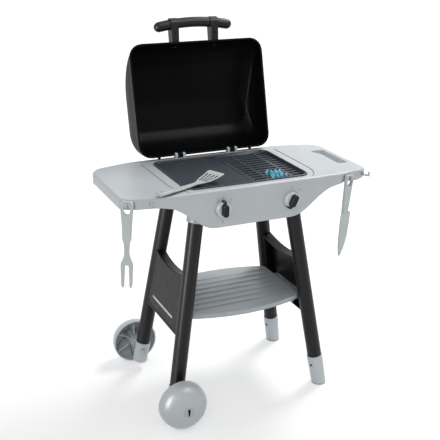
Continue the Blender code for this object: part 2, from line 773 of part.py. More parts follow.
def make_wheel(name, end):
    inner_rim = WHEEL_RADIUS - WHEEL_WALL
    inner_depth = WHEEL_DEPTH - WHEEL_WALL
    recess = AXLE_HEAD_RADIUS + GAP
    bore = AXLE_RADIUS + GAP
    outer = [(WHEEL_RADIUS, 0), (WHEEL_RADIUS, WHEEL_BAND)]
    for share in DOME_RADIUS_SHARES:
        radius = share * WHEEL_RADIUS
        outer.append((radius, dome_depth(radius, WHEEL_RADIUS, WHEEL_DEPTH)))
    outer.append((recess, dome_depth(recess, WHEEL_RADIUS, WHEEL_DEPTH)))
    hub = [(recess, recess_floor()), (bore, recess_floor()), (bore, -HUB_REACH), (HUB_RADIUS, -HUB_REACH),
           (HUB_RADIUS, dome_depth(HUB_RADIUS, inner_rim, inner_depth))]
    inner = []
    for share in reversed(HOLLOW_RADIUS_SHARES):
        radius = share * inner_rim
        inner.append((radius, dome_depth(radius, inner_rim, inner_depth)))
    inner += [(inner_rim, WHEEL_BAND), (inner_rim, 0)]
    wheel = turned(name, outer + hub + inner, wheel_frame(end), WHEEL_SIDES, ring=True)
    weld(wheel, *[make_spoke(end, turn) for turn in full_turn(SPOKE_COUNT)])
    return finished(wheel, LIGHT_GREY, axle_point(end, 0))


def make_spoke(end, turn):
    """Radial rib in the hollow of a wheel, following the middle of its wall."""
    rim = WHEEL_RADIUS - WHEEL_WALL / 2
    depth = WHEEL_DEPTH - WHEEL_WALL / 2
    hub = HUB_RADIUS - SEAM
    outline = [(hub, SPOKE_SETBACK), (rim, SPOKE_SETBACK)]
    for share in DOME_RADIUS_SHARES:
        outline.append((share * rim, dome_depth(share * rim, rim, depth)))
    outline.append((hub, dome_depth(hub, rim, depth)))
    spoke = prism("spoke", outline, -SPOKE_THICKNESS / 2, SPOKE_THICKNESS / 2, "Y")
    spoke.data.transform(wheel_frame(end) @ Matrix.Rotation(turn, 4, "Z"))
    return spoke


def make_axle_pin(name, end):
    """Pin with a coin-slotted head flush in the wheel's dome, barbed behind the leg's sleeve."""
    floor = recess_floor() + GAP
    sleeve = leg_point(1, 1, WHEEL_RADIUS).y - SLEEVE_TOP_RADIUS - AXLE_END_PLAY
    barb = sleeve - WHEEL_PLANE_Y
    rim = dome_depth(AXLE_HEAD_RADIUS, WHEEL_RADIUS, WHEEL_DEPTH)
    crown = dome_depth(0, WHEEL_RADIUS, WHEEL_DEPTH)
    profile = ((AXLE_RADIUS, crown), (AXLE_HEAD_RADIUS, rim), (AXLE_HEAD_RADIUS, floor),
               (AXLE_RADIUS, floor), (AXLE_RADIUS, barb), (AXLE_RADIUS + AXLE_BARB, barb),
               (AXLE_RADIUS + AXLE_BARB, barb - AXLE_BARB), (AXLE_RADIUS / 2, barb - AXLE_TIP))
    pin = turned(name, profile, wheel_frame(end))
    slot = box("coin_slot", (-COIN_SLOT_LENGTH / 2, -COIN_SLOT_WIDTH / 2, crown - COIN_SLOT_DEPTH),
               (COIN_SLOT_LENGTH / 2, COIN_SLOT_WIDTH / 2, crown + OVERRUN))
    slot.data.transform(wheel_frame(end))
    cut(pin, slot)
    return finished(pin, LIGHT_GREY)


# Side panels and shelf


def panel_slope():
    """Lean of the legs seen from the front."""
    return math.atan2(LEG_FLOOR_X - LEG_TOP_X, TABLE_TOP_Z)


def panel_point(side, y, z, out):
    """Place in the plane of the left or right legs at a height, moved outward square to that plane."""
    lean = panel_slope()
    return Vector((side * (leg_point(1, 1, z).x + out * math.cos(lean)), y, z + out * math.sin(lean)))


def panel_outline(inset):
    """Panel between the leg axes, with its hollow top edge, as (y, z)."""
    low = PANEL_LOW_Z + inset
    low_half = leg_point(1, 1, low).y
    high_half = leg_point(1, 1, PANEL_HIGH_Z).y
    outline = [(-low_half, low), (low_half, low)]
    for step in range(PANEL_ARC_STEPS + 1):
        share = 1 - 2 * step / PANEL_ARC_STEPS
        outline.append((high_half * share, PANEL_HIGH_Z - inset - PANEL_SAG * (1 - share * share)))
    return outline


def panel_slab(name, side, outline, inner, outer):
    return lofted(name, [[panel_point(side, y, z, out) for y, z in outline] for out in (inner, outer)])


def make_side_panel(name, side):
    inner = PANEL_OUTSET - PANEL_DEPTH
    stages = ((0, inner), (0, PANEL_OUTSET - PANEL_EDGE), (PANEL_EDGE / 3, PANEL_OUTSET - PANEL_EDGE / 3),
              (PANEL_EDGE, PANEL_OUTSET))
    panel = lofted(name, [[panel_point(side, y, z, out) for y, z in panel_outline(inset)]
                          for inset, out in stages])
    pocket = panel_slab("pocket", side, panel_outline(PANEL_WALL), inner - OVERRUN,
                        PANEL_OUTSET - PANEL_WALL)
    for end in (-1, 1):
        cut(pocket, leg_cutter(side, end, LEG_RADIUS + GAP + PANEL_WALL))
    face = panel_slab("face", side, panel_outline(PANEL_RIM), PANEL_OUTSET - PANEL_FACE_DEPTH,
                      PANEL_OUTSET + OVERRUN)
    cut(panel, pocket, face, shelf_tongue("slot", side, TONGUE_PLAY, OVERRUN))
    for end in (-1, 1):
        cut(panel, leg_cutter(side, end, LEG_RADIUS + GAP), panel_pin_hole(side, end))
    return finished(panel, BLACK)


def panel_pin_frame(side, end):
    """Frame on a leg's axis whose Z runs, square to the leg, into the panel beside it."""
    middle = leg_point(side, end, PANEL_PIN_Z)
    along = leg_point(side, end, TABLE_TOP_Z) - leg_point(side, end, 0)
    inward = Vector((0, -end, 0))
    inward -= along * (inward.dot(along) / along.dot(along))
    return axis_frame(middle, inward, (side, 0, 0))


def panel_pin_hole(side, end):
    far = LEG_RADIUS + GAP + PANEL_WALL + OVERRUN
    profile = ((PANEL_PIN_RADIUS + GAP, 0), (PANEL_PIN_RADIUS + GAP, far))
    return turned("hole", profile, panel_pin_frame(side, end), SMALL_SIDES)


def make_panel_pin(name, side, end):
    tip = LEG_RADIUS - LEG_WALL - SEAM
    seat = LEG_RADIUS + PANEL_WALL + 2 * GAP
    top = seat + PANEL_PIN_HEAD_HEIGHT
    profile = ((PANEL_PIN_RADIUS, tip), (PANEL_PIN_RADIUS, seat), (PANEL_PIN_HEAD_RADIUS, seat),
               (PANEL_PIN_HEAD_RADIUS, top))
    return finished(turned(name, profile, panel_pin_frame(side, end), SMALL_SIDES), LIGHT_GREY)


def shelf_outline(inset):
    """Shelf with bowed front and rear edges."""
    half_length = SHELF_HALF_LENGTH - inset
    bow = SHELF_MID_HALF_DEPTH - SHELF_END_HALF_DEPTH
    front = []
    for step in range(SHELF_BOW_STEPS + 1):
        share = 2 * step / SHELF_BOW_STEPS - 1
        depth = SHELF_END_HALF_DEPTH - inset + bow * (1 - share * share)
        front.append((half_length * share, -depth))
    return front + [(-x, -y) for x, y in front]


def shelf_tongue(name, side, play=0.0, beyond=0.0):
    """Tongue at one end of the shelf, or its slot when play and an overrun are given."""
    inner = side * (SHELF_HALF_LENGTH - SEAM)
    middle_z = TONGUE_TOP_Z - TONGUE_THICKNESS / 2
    outer = side * (panel_point(1, 0, middle_z, PANEL_OUTSET).x - GAP + beyond)
    return box(name, (min(inner, outer), -TONGUE_HALF - play, TONGUE_TOP_Z - TONGUE_THICKNESS - play),
               (max(inner, outer), TONGUE_HALF + play, TONGUE_TOP_Z + play))


def make_shelf(name):
    bottom = SHELF_TOP_Z - SHELF_LIP
    shelf = prism(name, shelf_outline(0), bottom, SHELF_TOP_Z)
    cut(shelf, prism("underside", shelf_outline(SHELF_WALL), bottom - OVERRUN, SHELF_TOP_Z - SHELF_WALL))
    for side in (-1, 1):
        outer = side * SHELF_HALF_LENGTH
        inner = side * (SHELF_HALF_LENGTH - SHELF_WALL - SEAM)
        skirt = box("end_skirt", (min(inner, outer), -SHELF_SKIRT_HALF, SHELF_TOP_Z - SHELF_SKIRT_DROP),
                    (max(inner, outer), SHELF_SKIRT_HALF, SHELF_TOP_Z - SEAM))
        weld(shelf, skirt, shelf_tongue("tongue", side))
    ridge_half_length = SHELF_HALF_LENGTH - SHELF_RIDGE_END_GAP
    for i in range(SHELF_RIDGE_COUNT):
        middle = (i - (SHELF_RIDGE_COUNT - 1) / 2) * SHELF_RIDGE_PITCH
        outline = ((middle - SHELF_RIDGE_WIDTH / 2, SHELF_TOP_Z - SEAM),
                   (middle + SHELF_RIDGE_WIDTH / 2, SHELF_TOP_Z - SEAM),
                   (middle + SHELF_RIDGE_WIDTH / 3, SHELF_TOP_Z + SHELF_RIDGE_HEIGHT),
                   (middle - SHELF_RIDGE_WIDTH / 3, SHELF_TOP_Z + SHELF_RIDGE_HEIGHT))
        weld(shelf, prism("ridge", outline, -ridge_half_length, ridge_half_length, "X"))
    cut(shelf, *[leg_cutter(side, end, LEG_RADIUS + GAP) for side, end in MIRRORED])
    return finished(shelf, LIGHT_GREY)


# Table top


def table_corners():
    return mirrored_corners((
        (FRONT_BEND_X, -FRONT_Y, FRONT_BEND_RADIUS),
        (WING_END_X, -WING_FRONT_Y, FRONT_CORNER_RADIUS),
        (WING_END_X, WING_REAR_Y, REAR_CORNER_RADIUS),
        (REAR_BEND_X, REAR_Y, REAR_BEND_RADIUS)))


def well_corners():
    return ((-WELL_HALF_WIDTH, -WELL_FRONT_Y, WELL_CORNER_RADIUS),
            (WELL_HALF_WIDTH, -WELL_FRONT_Y, WELL_CORNER_RADIUS),
            (WELL_HALF_WIDTH, WELL_REAR_Y, WELL_CORNER_RADIUS),
            (-WELL_HALF_WIDTH, WELL_REAR_Y, WELL_CORNER_RADIUS))


def grip_corners():
    return ((GRIP_FRONT_INNER_X, -GRIP_FRONT_Y, GRIP_SMALL_RADIUS),
            (GRIP_OUTER_X, -GRIP_FRONT_Y, GRIP_SMALL_RADIUS),
            (GRIP_OUTER_X, GRIP_REAR_Y, GRIP_LARGE_RADIUS),
            (GRIP_REAR_INNER_X, GRIP_REAR_Y, GRIP_LARGE_RADIUS),
            (GRIP_MIDDLE_INNER_X, GRIP_MIDDLE_Y, GRIP_LARGE_RADIUS))


def grip_cutter():
    """The grip slot, flared where it meets the top."""
    stages = ((0, SKIRT_BOTTOM_Z), (0, TABLE_TOP_Z - GRIP_EDGE), (-GRIP_EDGE, TABLE_TOP_Z),
              (-GRIP_EDGE, TABLE_TOP_Z + OVERRUN))
    return lofted("grip", [[(x, y, z) for x, y in rounded_outline(grip_corners(), inset)] for inset, z in stages])


def cubic(points, steps):
    """Points along a cubic curve with two pulling places."""
    start, first, second, end = [Vector(point) for point in points]
    curve = []
    for step in range(steps + 1):
        t = step / steps
        u = 1 - t
        curve.append(tuple(start * u ** 3 + first * 3 * u * u * t + second * 3 * u * t * t + end * t ** 3))
    return curve


def fascia_edge():
    """Lower edge of the skirt on the right half, from the middle outward, as (x, z)."""
    high_pull_z = TABLE_TOP_Z - FASCIA_HIGH_PULL_DROP
    shoulder_z = TABLE_TOP_Z - FASCIA_SHOULDER_DROP
    curve = cubic(((FASCIA_FLAT_X, FASCIA_BOTTOM_Z), (FASCIA_LOW_PULL_X, FASCIA_BOTTOM_Z),
                   (FASCIA_HIGH_PULL_X, high_pull_z), (FASCIA_SHOULDER_X, shoulder_z)), FASCIA_STEPS)
    return curve + [(FASCIA_END_X, SKIRT_BOTTOM_Z), (WING_END_X + OVERRUN, SKIRT_BOTTOM_Z)]


def below_fascia():
    """Everything under the skirt's lower edge."""
    edge = fascia_edge()
    floor = FASCIA_BOTTOM_Z - 3 * OVERRUN
    outline = edge + [(WING_END_X + OVERRUN, floor), (-WING_END_X - OVERRUN, floor)]
    outline += [(-x, z) for x, z in reversed(edge)]
    return prism("below_fascia", outline, -FRONT_Y - OVERRUN, REAR_Y + OVERRUN, "Y")


def socket_frame_top():
    return leg_run(0, LEG_END_Z) + GAP


def leg_socket(side, end):
    """Solid of a leg's socket with its two webs, before it is bored."""
    low = leg_run(0, SOCKET_BOTTOM_Z)
    high = socket_frame_top() + SOCKET_PLUG
    profile = ((SOCKET_RADIUS - SLEEVE_EDGE, low), (SOCKET_RADIUS, low + SLEEVE_EDGE), (SOCKET_RADIUS, high))
    socket = turned("socket", profile, leg_frame(side, end, 0))
    middle = leg_point(1, 1, LEG_SCREW_Z)
    low_web = LEG_END_Z
    floor_web = TABLE_TOP_Z - WELL_DEPTH - SEAM
    skin_web = TABLE_TOP_Z - TABLE_EDGE_ROUND
    wall_y = (FRONT_Y if end < 0 else REAR_Y) - MOULDING_WALL / 2
    well_y = (WELL_FRONT_Y if end < 0 else WELL_REAR_Y) + SEAM
    web_z = TABLE_TOP_Z - WEB_DROP
    along = [(middle.y, web_z), (wall_y, web_z), (wall_y, skin_web), (well_y, skin_web),
             (well_y, floor_web), (min(WEB_FREE_Y, well_y - GAP), floor_web),
             (min(WEB_FREE_Y, well_y - GAP), low_web), (middle.y, low_web)]
    web_low, web_high = sorted((side * middle.x - WEB_THICKNESS / 2, side * middle.x + WEB_THICKNESS / 2))
    weld(socket, prism("web", [(end * y, z) for y, z in along], web_low, web_high, "X"))
    outer_x = WELL_HALF_WIDTH + SEAM
    across = [(middle.x, web_z), (outer_x, TABLE_TOP_Z - WEB_OUTER_DROP), (outer_x, floor_web),
              (WEB_FREE_X, floor_web), (WEB_FREE_X, low_web), (middle.x, low_web)]
    web_y = end * middle.y
    weld(socket, prism("web", [(side * x, z) for x, z in across], web_y - WEB_THICKNESS / 2,
                       web_y + WEB_THICKNESS / 2, "Y"))
    return socket


def leg_bore(side, end):
    bore = LEG_RADIUS + GAP
    profile = ((bore, leg_run(0, SOCKET_BOTTOM_Z) - OVERRUN), (bore, socket_frame_top()))
    return turned("leg_bore", profile, leg_frame(side, end, 0))


def wing_ribs(side):
    """Long rib under one side and the rib across its wing."""
    low = TABLE_TOP_Z - RIB_DEPTH
    high = TABLE_TOP_Z - SEAM
    across_end = GRIP_REAR_INNER_X - GRIP_COLLAR_WALL + SEAM if side > 0 else WING_END_X - SEAM
    along = box("rib", (side * RIB_X - RIB_THICKNESS / 2, -FRONT_Y + SEAM, low),
                (side * RIB_X + RIB_THICKNESS / 2, REAR_Y - SEAM, high))
    inner, outer = sorted((side * RIB_X, side * across_end))
    across = box("rib", (inner, -RIB_THICKNESS / 2, low + SEAM), (outer, RIB_THICKNESS / 2, high - SEAM / 2))
    return along, across


def lid_line(side):
    """Shallow line beside the well that curls in at its front end."""
    half = LID_LINE_WIDTH / 2
    radius = LID_LINE_CURVE_RADIUS
    turn_y = -LID_LINE_FRONT_Y + radius * math.sin(LID_LINE_TURN)
    outer = [(LID_LINE_X + half, LID_LINE_REAR_Y), (LID_LINE_X + half, turn_y)]
    inner = [(LID_LINE_X - half, LID_LINE_REAR_Y), (LID_LINE_X - half, turn_y)]
    centre_x = LID_LINE_X - radius
    for step in range(1, CORNER_STEPS + 1):
        turn = LID_LINE_TURN * step / CORNER_STEPS
        spoke_x = math.cos(turn)
        spoke_y = math.sin(turn)
        outer.append((centre_x + (radius + half) * spoke_x, turn_y - (radius + half) * spoke_y))
        inner.append((centre_x + (radius - half) * spoke_x, turn_y - (radius - half) * spoke_y))
    outline = [(side * x, y) for x, y in outer + inner[::-1]]
    return prism("lid_line", outline, TABLE_TOP_Z - LID_LINE_DEPTH, TABLE_TOP_Z + OVERRUN)


def hinge_z():
    return TABLE_TOP_Z + LUG_RADIUS + GAP


def ear_starts(side):
    """Inner edge of each of the two ears beside a lug, as x."""
    reach = LUG_HALF_LENGTH + HINGE_PLAY
    middle = side * HINGE_X
    return middle - reach - EAR_LENGTH, middle + reach


def hinge_ear(start):
    """Upright ear with a round top on the table top."""
    outline = [(HINGE_Y + LUG_RADIUS, TABLE_TOP_Z - SEAM)]
    for step in range(SMALL_SIDES + 1):
        turn = math.pi * step / SMALL_SIDES
        outline.append((HINGE_Y + LUG_RADIUS * math.cos(turn), hinge_z() + LUG_RADIUS * math.sin(turn)))
    outline.append((HINGE_Y - LUG_RADIUS, TABLE_TOP_Z - SEAM))
    return prism("ear", outline, start, start + EAR_LENGTH, "X")


def hinge_rod(name, side, radius, beyond):
    reach = LUG_HALF_LENGTH + HINGE_PLAY + EAR_LENGTH + beyond
    return rod(name, (side * HINGE_X - reach, HINGE_Y, hinge_z()), (side * HINGE_X + reach, HINGE_Y, hinge_z()),
               radius)


def knob_collar(x):
    profile = ((COLLAR_RADIUS, -SEAM), (COLLAR_RADIUS, COLLAR_HEIGHT - COLLAR_ROUND),
               (COLLAR_RADIUS - COLLAR_ROUND, COLLAR_HEIGHT))
    return turned("collar", profile, axis_frame((x, -FRONT_Y, KNOB_Z), (0, -1, 0), (0, 0, 1)), KNOB_SIDES)


def shaft_hole(x):
    radius = SHAFT_RADIUS + GAP
    return rod("hole", (x, -FRONT_Y - COLLAR_HEIGHT - OVERRUN, KNOB_Z),
               (x, -FRONT_Y + MOULDING_WALL + OVERRUN, KNOB_Z), radius, ROUND_SIDES)


def wing_front_y(x):
    """Front of the skirt on the straight run of a wing."""
    share = (x - FRONT_BEND_X) / (WING_END_X - FRONT_BEND_X)
    return FRONT_Y + (WING_FRONT_Y - FRONT_Y) * share


def peg_frames():
    """Frame of each peg on the skirt's surface: Z points out of the skirt and X up."""
    centre_x = WING_END_X - FRONT_CORNER_RADIUS
    run = math.hypot(WING_END_X - FRONT_BEND_X, FRONT_Y - WING_FRONT_Y)
    centre_y = wing_front_y(centre_x) - FRONT_CORNER_RADIUS * run / (WING_END_X - FRONT_BEND_X)
    corner_x = centre_x + FRONT_CORNER_RADIUS * math.sin(CORNER_PEG_ANGLE)
    corner_y = centre_y + FRONT_CORNER_RADIUS * math.cos(CORNER_PEG_ANGLE)
    frames = {}
    for side, word in ((-1, "left"), (1, "right")):
        outward = Vector((side * math.sin(CORNER_PEG_ANGLE), -math.cos(CORNER_PEG_ANGLE), 0))
        frames[word + "_corner"] = axis_frame((side * corner_x, -corner_y, PEG_Z), outward, (0, 0, 1))
        front = (side * FRONT_PEG_X, -wing_front_y(FRONT_PEG_X), PEG_Z)
        outward = Vector((side * (FRONT_Y - WING_FRONT_Y), FRONT_BEND_X - WING_END_X, 0)).normalized()
        frames[word + "_front"] = axis_frame(front, outward, (0, 0, 1))
    return frames


def peg_window(name, frame, half, low, high):
    """Upright block that crosses the skirt at a peg, between two heights."""
    window = box(name, (low - PEG_Z, -half, -FRONT_CORNER_RADIUS), (high - PEG_Z, half, OVERRUN))
    window.data.transform(frame)
    return window


def peg_boss(frame):
    """Thicker stretch of skirt that backs a peg's pocket."""
    boss = peg_window("boss", frame, POCKET_HALF_WIDTH + MOULDING_WALL, SKIRT_BOTTOM_Z,
                      TABLE_TOP_Z - MOULDING_WALL + SEAM)
    within = rounded_outline(table_corners(), MOULDING_WALL / 2)
    combine(boss, [prism("within", within, 0, TABLE_TOP_Z)], "INTERSECT")
    behind = rounded_outline(table_corners(), POCKET_DEPTH + MOULDING_WALL)
    return cut(boss, prism("behind", behind, 0, TABLE_TOP_Z))


def peg_pocket(frame):
    """Recess of even depth in the skirt round a peg, open below."""
    pocket = peg_window("pocket", frame, POCKET_HALF_WIDTH, SKIRT_BOTTOM_Z - OVERRUN,
                        TABLE_TOP_Z - POCKET_TOP_DROP)
    core = rounded_outline(table_corners(), POCKET_DEPTH)
    return cut(pocket, prism("core", core, 0, TABLE_TOP_Z))


def peg_hook(frame):
    places = [frame @ Vector(place) for place in (
        (0, 0, -POCKET_DEPTH - SEAM), (0, 0, PEG_REACH), (PEG_TIP_RISE, 0, PEG_REACH))]
    return swept("hook", places, (PEG_RADIUS,) * 3, frame.to_3x3() @ Vector((0, 1, 0)), PEG_SIDES)


def flame_opening():
    margin = FLAME_OPENING_MARGIN
    return box("flame_opening", (FLAME_LEFT_X - margin, -FLAME_FRONT_Y - margin, well_floor_z() - OVERRUN),
               (FLAME_RIGHT_X + margin, -FLAME_REAR_Y + margin, TABLE_TOP_Z - WELL_DEPTH + OVERRUN))


def well_floor_z():
    """Underside of the well's floor."""
    return TABLE_TOP_Z - WELL_DEPTH - MOULDING_WALL


def make_table_top(name):
    low = FASCIA_BOTTOM_Z - OVERRUN
    top = lofted(name, soft_loops(table_corners(), low, TABLE_TOP_Z, high_round=TABLE_EDGE_ROUND,
                                  edge_steps=TABLE_EDGE_STEPS))
    hollow = rounded_outline(table_corners(), MOULDING_WALL)
    cut(top, below_fascia(), prism("hollow", hollow, low - OVERRUN, TABLE_TOP_Z - MOULDING_WALL))
    well_wall = rounded_outline(well_corners(), -MOULDING_WALL)
    weld(top, prism("well", well_wall, well_floor_z(), TABLE_TOP_Z - SEAM))
    grip_wall = rounded_outline(grip_corners(), -GRIP_COLLAR_WALL)
    weld(top, prism("grip_collar", grip_wall, TABLE_TOP_Z - GRIP_COLLAR_DEPTH, TABLE_TOP_Z - SEAM))
    for side in (-1, 1):
        weld(top, *wing_ribs(side))
        weld(top, *[hinge_ear(start) for start in ear_starts(side)])
        cut(top, hinge_rod("hole", side, HINGE_PIN_RADIUS + GAP, OVERRUN), lid_line(side))
    for side, end in MIRRORED:
        weld(top, leg_socket(side, end))
        cut(top, leg_bore(side, end), leg_screw_hole(side, end))
    cut(top, prism("recess", rounded_outline(well_corners()), TABLE_TOP_Z - WELL_DEPTH, TABLE_TOP_Z + OVERRUN))
    cut(top, flame_opening())
    cut(top, grip_cutter())
    for x in (LEFT_KNOB_X, RIGHT_KNOB_X):
        weld(top, knob_collar(x))
        cut(top, shaft_hole(x))
    for name, frame in peg_frames().items():
        weld(top, peg_boss(frame))
        if name != "left_front":
            cut(top, peg_pocket(frame))
        weld(top, peg_hook(frame))
    return finished(top, LIGHT_GREY)


def make_hinge_pin(name, side):
    """Headed pin through both ears and the lug between them."""
    reach = LUG_HALF_LENGTH + HINGE_PLAY + EAR_LENGTH
    head = reach + GAP
    profile = ((HINGE_PIN_RADIUS, -reach), (HINGE_PIN_RADIUS, head), (HINGE_PIN_HEAD_RADIUS, head),
               (HINGE_PIN_HEAD_RADIUS, head + HINGE_PIN_HEAD_LENGTH))
    frame = axis_frame((side * HINGE_X, HINGE_Y, hinge_z()), (side, 0, 0), (0, 0, 1))
    return finished(turned(name, profile, frame, SMALL_SIDES), STEEL)


# Cooking insert and flames


def make_cooking_insert(name):
    low = TABLE_TOP_Z - WELL_DEPTH + GAP
    body = lofted(name, soft_loops(well_corners(), low, INSERT_RIM_Z, high_round=INSERT_RIM_ROUND,
                                   inset=INSERT_PLAY))
    inner = rounded_outline(well_corners(), INSERT_PLAY + INSERT_RIM_WIDTH)
    cut(body, prism("tray", inner, INSERT_SURFACE_Z, INSERT_RIM_Z + OVERRUN))
    cut(body, prism("underside", inner, low - OVERRUN, INSERT_SURFACE_Z - INSERT_PLATE))
    rim = INSERT_PLAY + INSERT_RIM_WIDTH - SEAM
    ridge = box("ridge", (RIDGE_LEFT_X, -WELL_FRONT_Y + rim, INSERT_SURFACE_Z - SEAM),
                (RIDGE_RIGHT_X, WELL_REAR_Y - rim, INSERT_SURFACE_Z + RIDGE_HEIGHT))
    ring_length = FINGER_HOLE_LENGTH + 2 * FINGER_RING_WIDTH
    ring_width = FINGER_HOLE_WIDTH + 2 * FINGER_RING_WIDTH
    ring = prism("ring", ellipse_outline(FINGER_HOLE_X, FINGER_HOLE_Y, ring_length, ring_width),
                 INSERT_SURFACE_Z - SEAM, INSERT_SURFACE_Z + FINGER_RING_HEIGHT)
    weld(body, ridge, ring)
    hole = ellipse_outline(FINGER_HOLE_X, FINGER_HOLE_Y, FINGER_HOLE_LENGTH, FINGER_HOLE_WIDTH)
    cut(body, prism("finger_hole", hole, INSERT_SURFACE_Z - INSERT_PLATE - OVERRUN, INSERT_RIM_Z + OVERRUN))
    for column in SLOT_COLUMNS:
        cut(body, *[grate_slot(column, row) for row in range(SLOT_COUNT)])
    return finished(body, DARK_GREY)


def grate_slot(column, row):
    left, right = column
    middle = -SLOT_FIRST_Y + row * SLOT_PITCH
    return box("slot", (left, middle - SLOT_WIDTH / 2, INSERT_SURFACE_Z - INSERT_PLATE - OVERRUN),
               (right, middle + SLOT_WIDTH / 2, INSERT_SURFACE_Z + OVERRUN))


def cam_front_depth():
    """How far behind the fascia's front the cam starts."""
    return MOULDING_WALL + GAP + CLICK_THICKNESS + CAM_GAP_BEHIND_WHEEL


def nose_z():
    """Underside of the flame piece's nose at rest, on the top of the cam."""
    return KNOB_Z + CAM_HIGH_RADIUS + GAP


def flame_plate_z():
    return nose_z() + FLAME_NOSE_DROP


def make_flame_piece(name):
    low = flame_plate_z()
    high = low + FLAME_PLATE
    cam_front = -FRONT_Y + cam_front_depth()
    piece = box(name, (FLAME_LEFT_X, -FLAME_FRONT_Y, low), (FLAME_RIGHT_X, -FLAME_REAR_Y, high))
    arm = box("arm", (RIGHT_KNOB_X - FLAME_ARM_HALF, cam_front, low + GAP),
              (RIGHT_KNOB_X + FLAME_ARM_HALF, -FLAME_FRONT_Y + SEAM, high - GAP))
    nose = box("nose", (RIGHT_KNOB_X - FLAME_NOSE_HALF, cam_front + GAP, nose_z()),
               (RIGHT_KNOB_X + FLAME_NOSE_HALF, cam_front + CAM_THICKNESS, low + FLAME_PLATE / 2))
    weld(piece, arm, nose)
    middle = (FLAME_LEFT_X + FLAME_RIGHT_X) / 2
    for row, count in enumerate(FLAME_ROW_COUNTS):
        for i in range(count):
            x = middle + (i - (count - 1) / 2) * FLAME_PITCH
            share = FLAME_HEIGHT_SHARES[(i + row) % len(FLAME_HEIGHT_SHARES)]
            weld(piece, flame_tongue(x, -SLOT_FIRST_Y + row * SLOT_PITCH, share, 1 if i % 2 else -1))
    return finished(piece, FLAME_BLUE, (RIGHT_KNOB_X, -FLAME_FRONT_Y, low))


def flame_tongue(x, y, height_share, lean):
    """Stubby flame that swells and curls as it rises."""
    low = flame_plate_z() + FLAME_PLATE / 2
    height = (FLAME_TIP_Z - low) * height_share
    loops = []
    for rise_share, swell_share, lean_share in FLAME_FORM_SHARES:
        middle = Vector((x + lean * lean_share * FLAME_TONGUE_RADIUS, y, low + height * rise_share))
        radius = FLAME_TONGUE_RADIUS * swell_share
        loops.append([middle + Vector((radius * math.cos(turn), radius * math.sin(turn), 0))
                      for turn in full_turn(FLAME_TONGUE_SIDES)])
    return lofted("tongue", loops)


def make_flame_housing(name):
    """Open frame under the well's floor that guides the flame piece up and down."""
    high = well_floor_z() - GAP
    inner = GAP
    outer = GAP + GUIDE_WALL
    body = box(name, (FLAME_LEFT_X - outer, -FLAME_FRONT_Y - outer, GUIDE_BOTTOM_Z),
               (FLAME_RIGHT_X + outer, -FLAME_REAR_Y + outer, high))
    shaft = box("guide", (FLAME_LEFT_X - inner, -FLAME_FRONT_Y - inner, GUIDE_BOTTOM_Z - OVERRUN),
                (FLAME_RIGHT_X + inner, -FLAME_REAR_Y + inner, high + OVERRUN))
    arm_half = FLAME_ARM_HALF + GAP
    gate = box("gate", (RIGHT_KNOB_X - arm_half, -FLAME_FRONT_Y - outer - OVERRUN, GUIDE_BOTTOM_Z - OVERRUN),
               (RIGHT_KNOB_X + arm_half, -FLAME_FRONT_Y + OVERRUN, flame_plate_z() + FLAME_PLATE + GAP))
    cut(body, shaft, gate)
    return finished(body, DARK_GREY)


def cam_radius(turn):
    """Spiral that rises with the knob's turn, then falls back within the rest of the circle."""
    top = RIGHT_KNOB_TURN + CAM_REST_MARGIN
    if turn <= RIGHT_KNOB_TURN:
        share = turn / RIGHT_KNOB_TURN
    elif turn <= top:
        share = 1.0
    else:
        share = max(0.0, 1 - (turn - top) / (math.tau - top - CAM_REST_MARGIN))
    return CAM_HIGH_RADIUS - (FLAME_RISE + CAM_RELIEF) * (1 - share)


def make_flame_cam(name):
    """Spiral cam on the right knob's shaft, bored for it."""
    front = -cam_front_depth()
    bore = SHAFT_RADIUS + GAP
    boss = bore + LEG_WALL / 2
    loops = []
    for depth in (front, front - CAM_THICKNESS):
        loops.append([knob_point(RIGHT_KNOB_X, RIGHT_KNOB_TURN, -cam_radius(turn) * math.sin(turn),
                                 cam_radius(turn) * math.cos(turn), depth) for turn in full_turn(CAM_STEPS)])
    cam = lofted(name, loops)
    frame = knob_frame(RIGHT_KNOB_X)
    hub_end = front - CAM_THICKNESS - MOULDING_WALL / 2
    hub = turned("hub", ((boss, front - CAM_THICKNESS / 2), (boss, hub_end)), frame, ROUND_SIDES)
    weld(cam, hub)
    cut(cam, turned("bore", ((bore, front + OVERRUN), (bore, hub_end - OVERRUN)), frame, ROUND_SIDES))
    return finished(cam, WHITE_PLASTIC, (RIGHT_KNOB_X, -FRONT_Y, KNOB_Z))


# Knobs


def knob_point(knob_x, turn, across, up, depth):
    """Place on a knob turned clockwise from the front: across and up its pointer, depth towards -Y."""
    x = knob_x + across * math.cos(turn) + up * math.sin(turn)
    z = KNOB_Z - across * math.sin(turn) + up * math.cos(turn)
    return Vector((x, -FRONT_Y - depth, z))


def knob_frame(knob_x):
    """Frame on a knob's axis whose Z points out of the fascia."""
    return axis_frame((knob_x, -FRONT_Y, KNOB_Z), (0, -1, 0), (0, 0, 1))


def make_knob_dial(name, knob_x, reach):
    """Turning disc with the shaft that passes through the fascia."""
    back = COLLAR_HEIGHT + GAP
    profile = [(SHAFT_RADIUS, -reach), (SHAFT_RADIUS, back), (DIAL_RADIUS, back)]
    for turn_share in (0.0, 0.5, 1.0):
        turn = turn_share * math.pi / 2
        profile.append((DIAL_RADIUS - DIAL_ROUND + DIAL_ROUND * math.cos(turn),
                        DIAL_FRONT - DIAL_ROUND + DIAL_ROUND * math.sin(turn)))
    dial = turned(name, profile, knob_frame(knob_x), KNOB_SIDES)
    return finished(dial, LIGHT_GREY, (knob_x, -FRONT_Y, KNOB_Z))


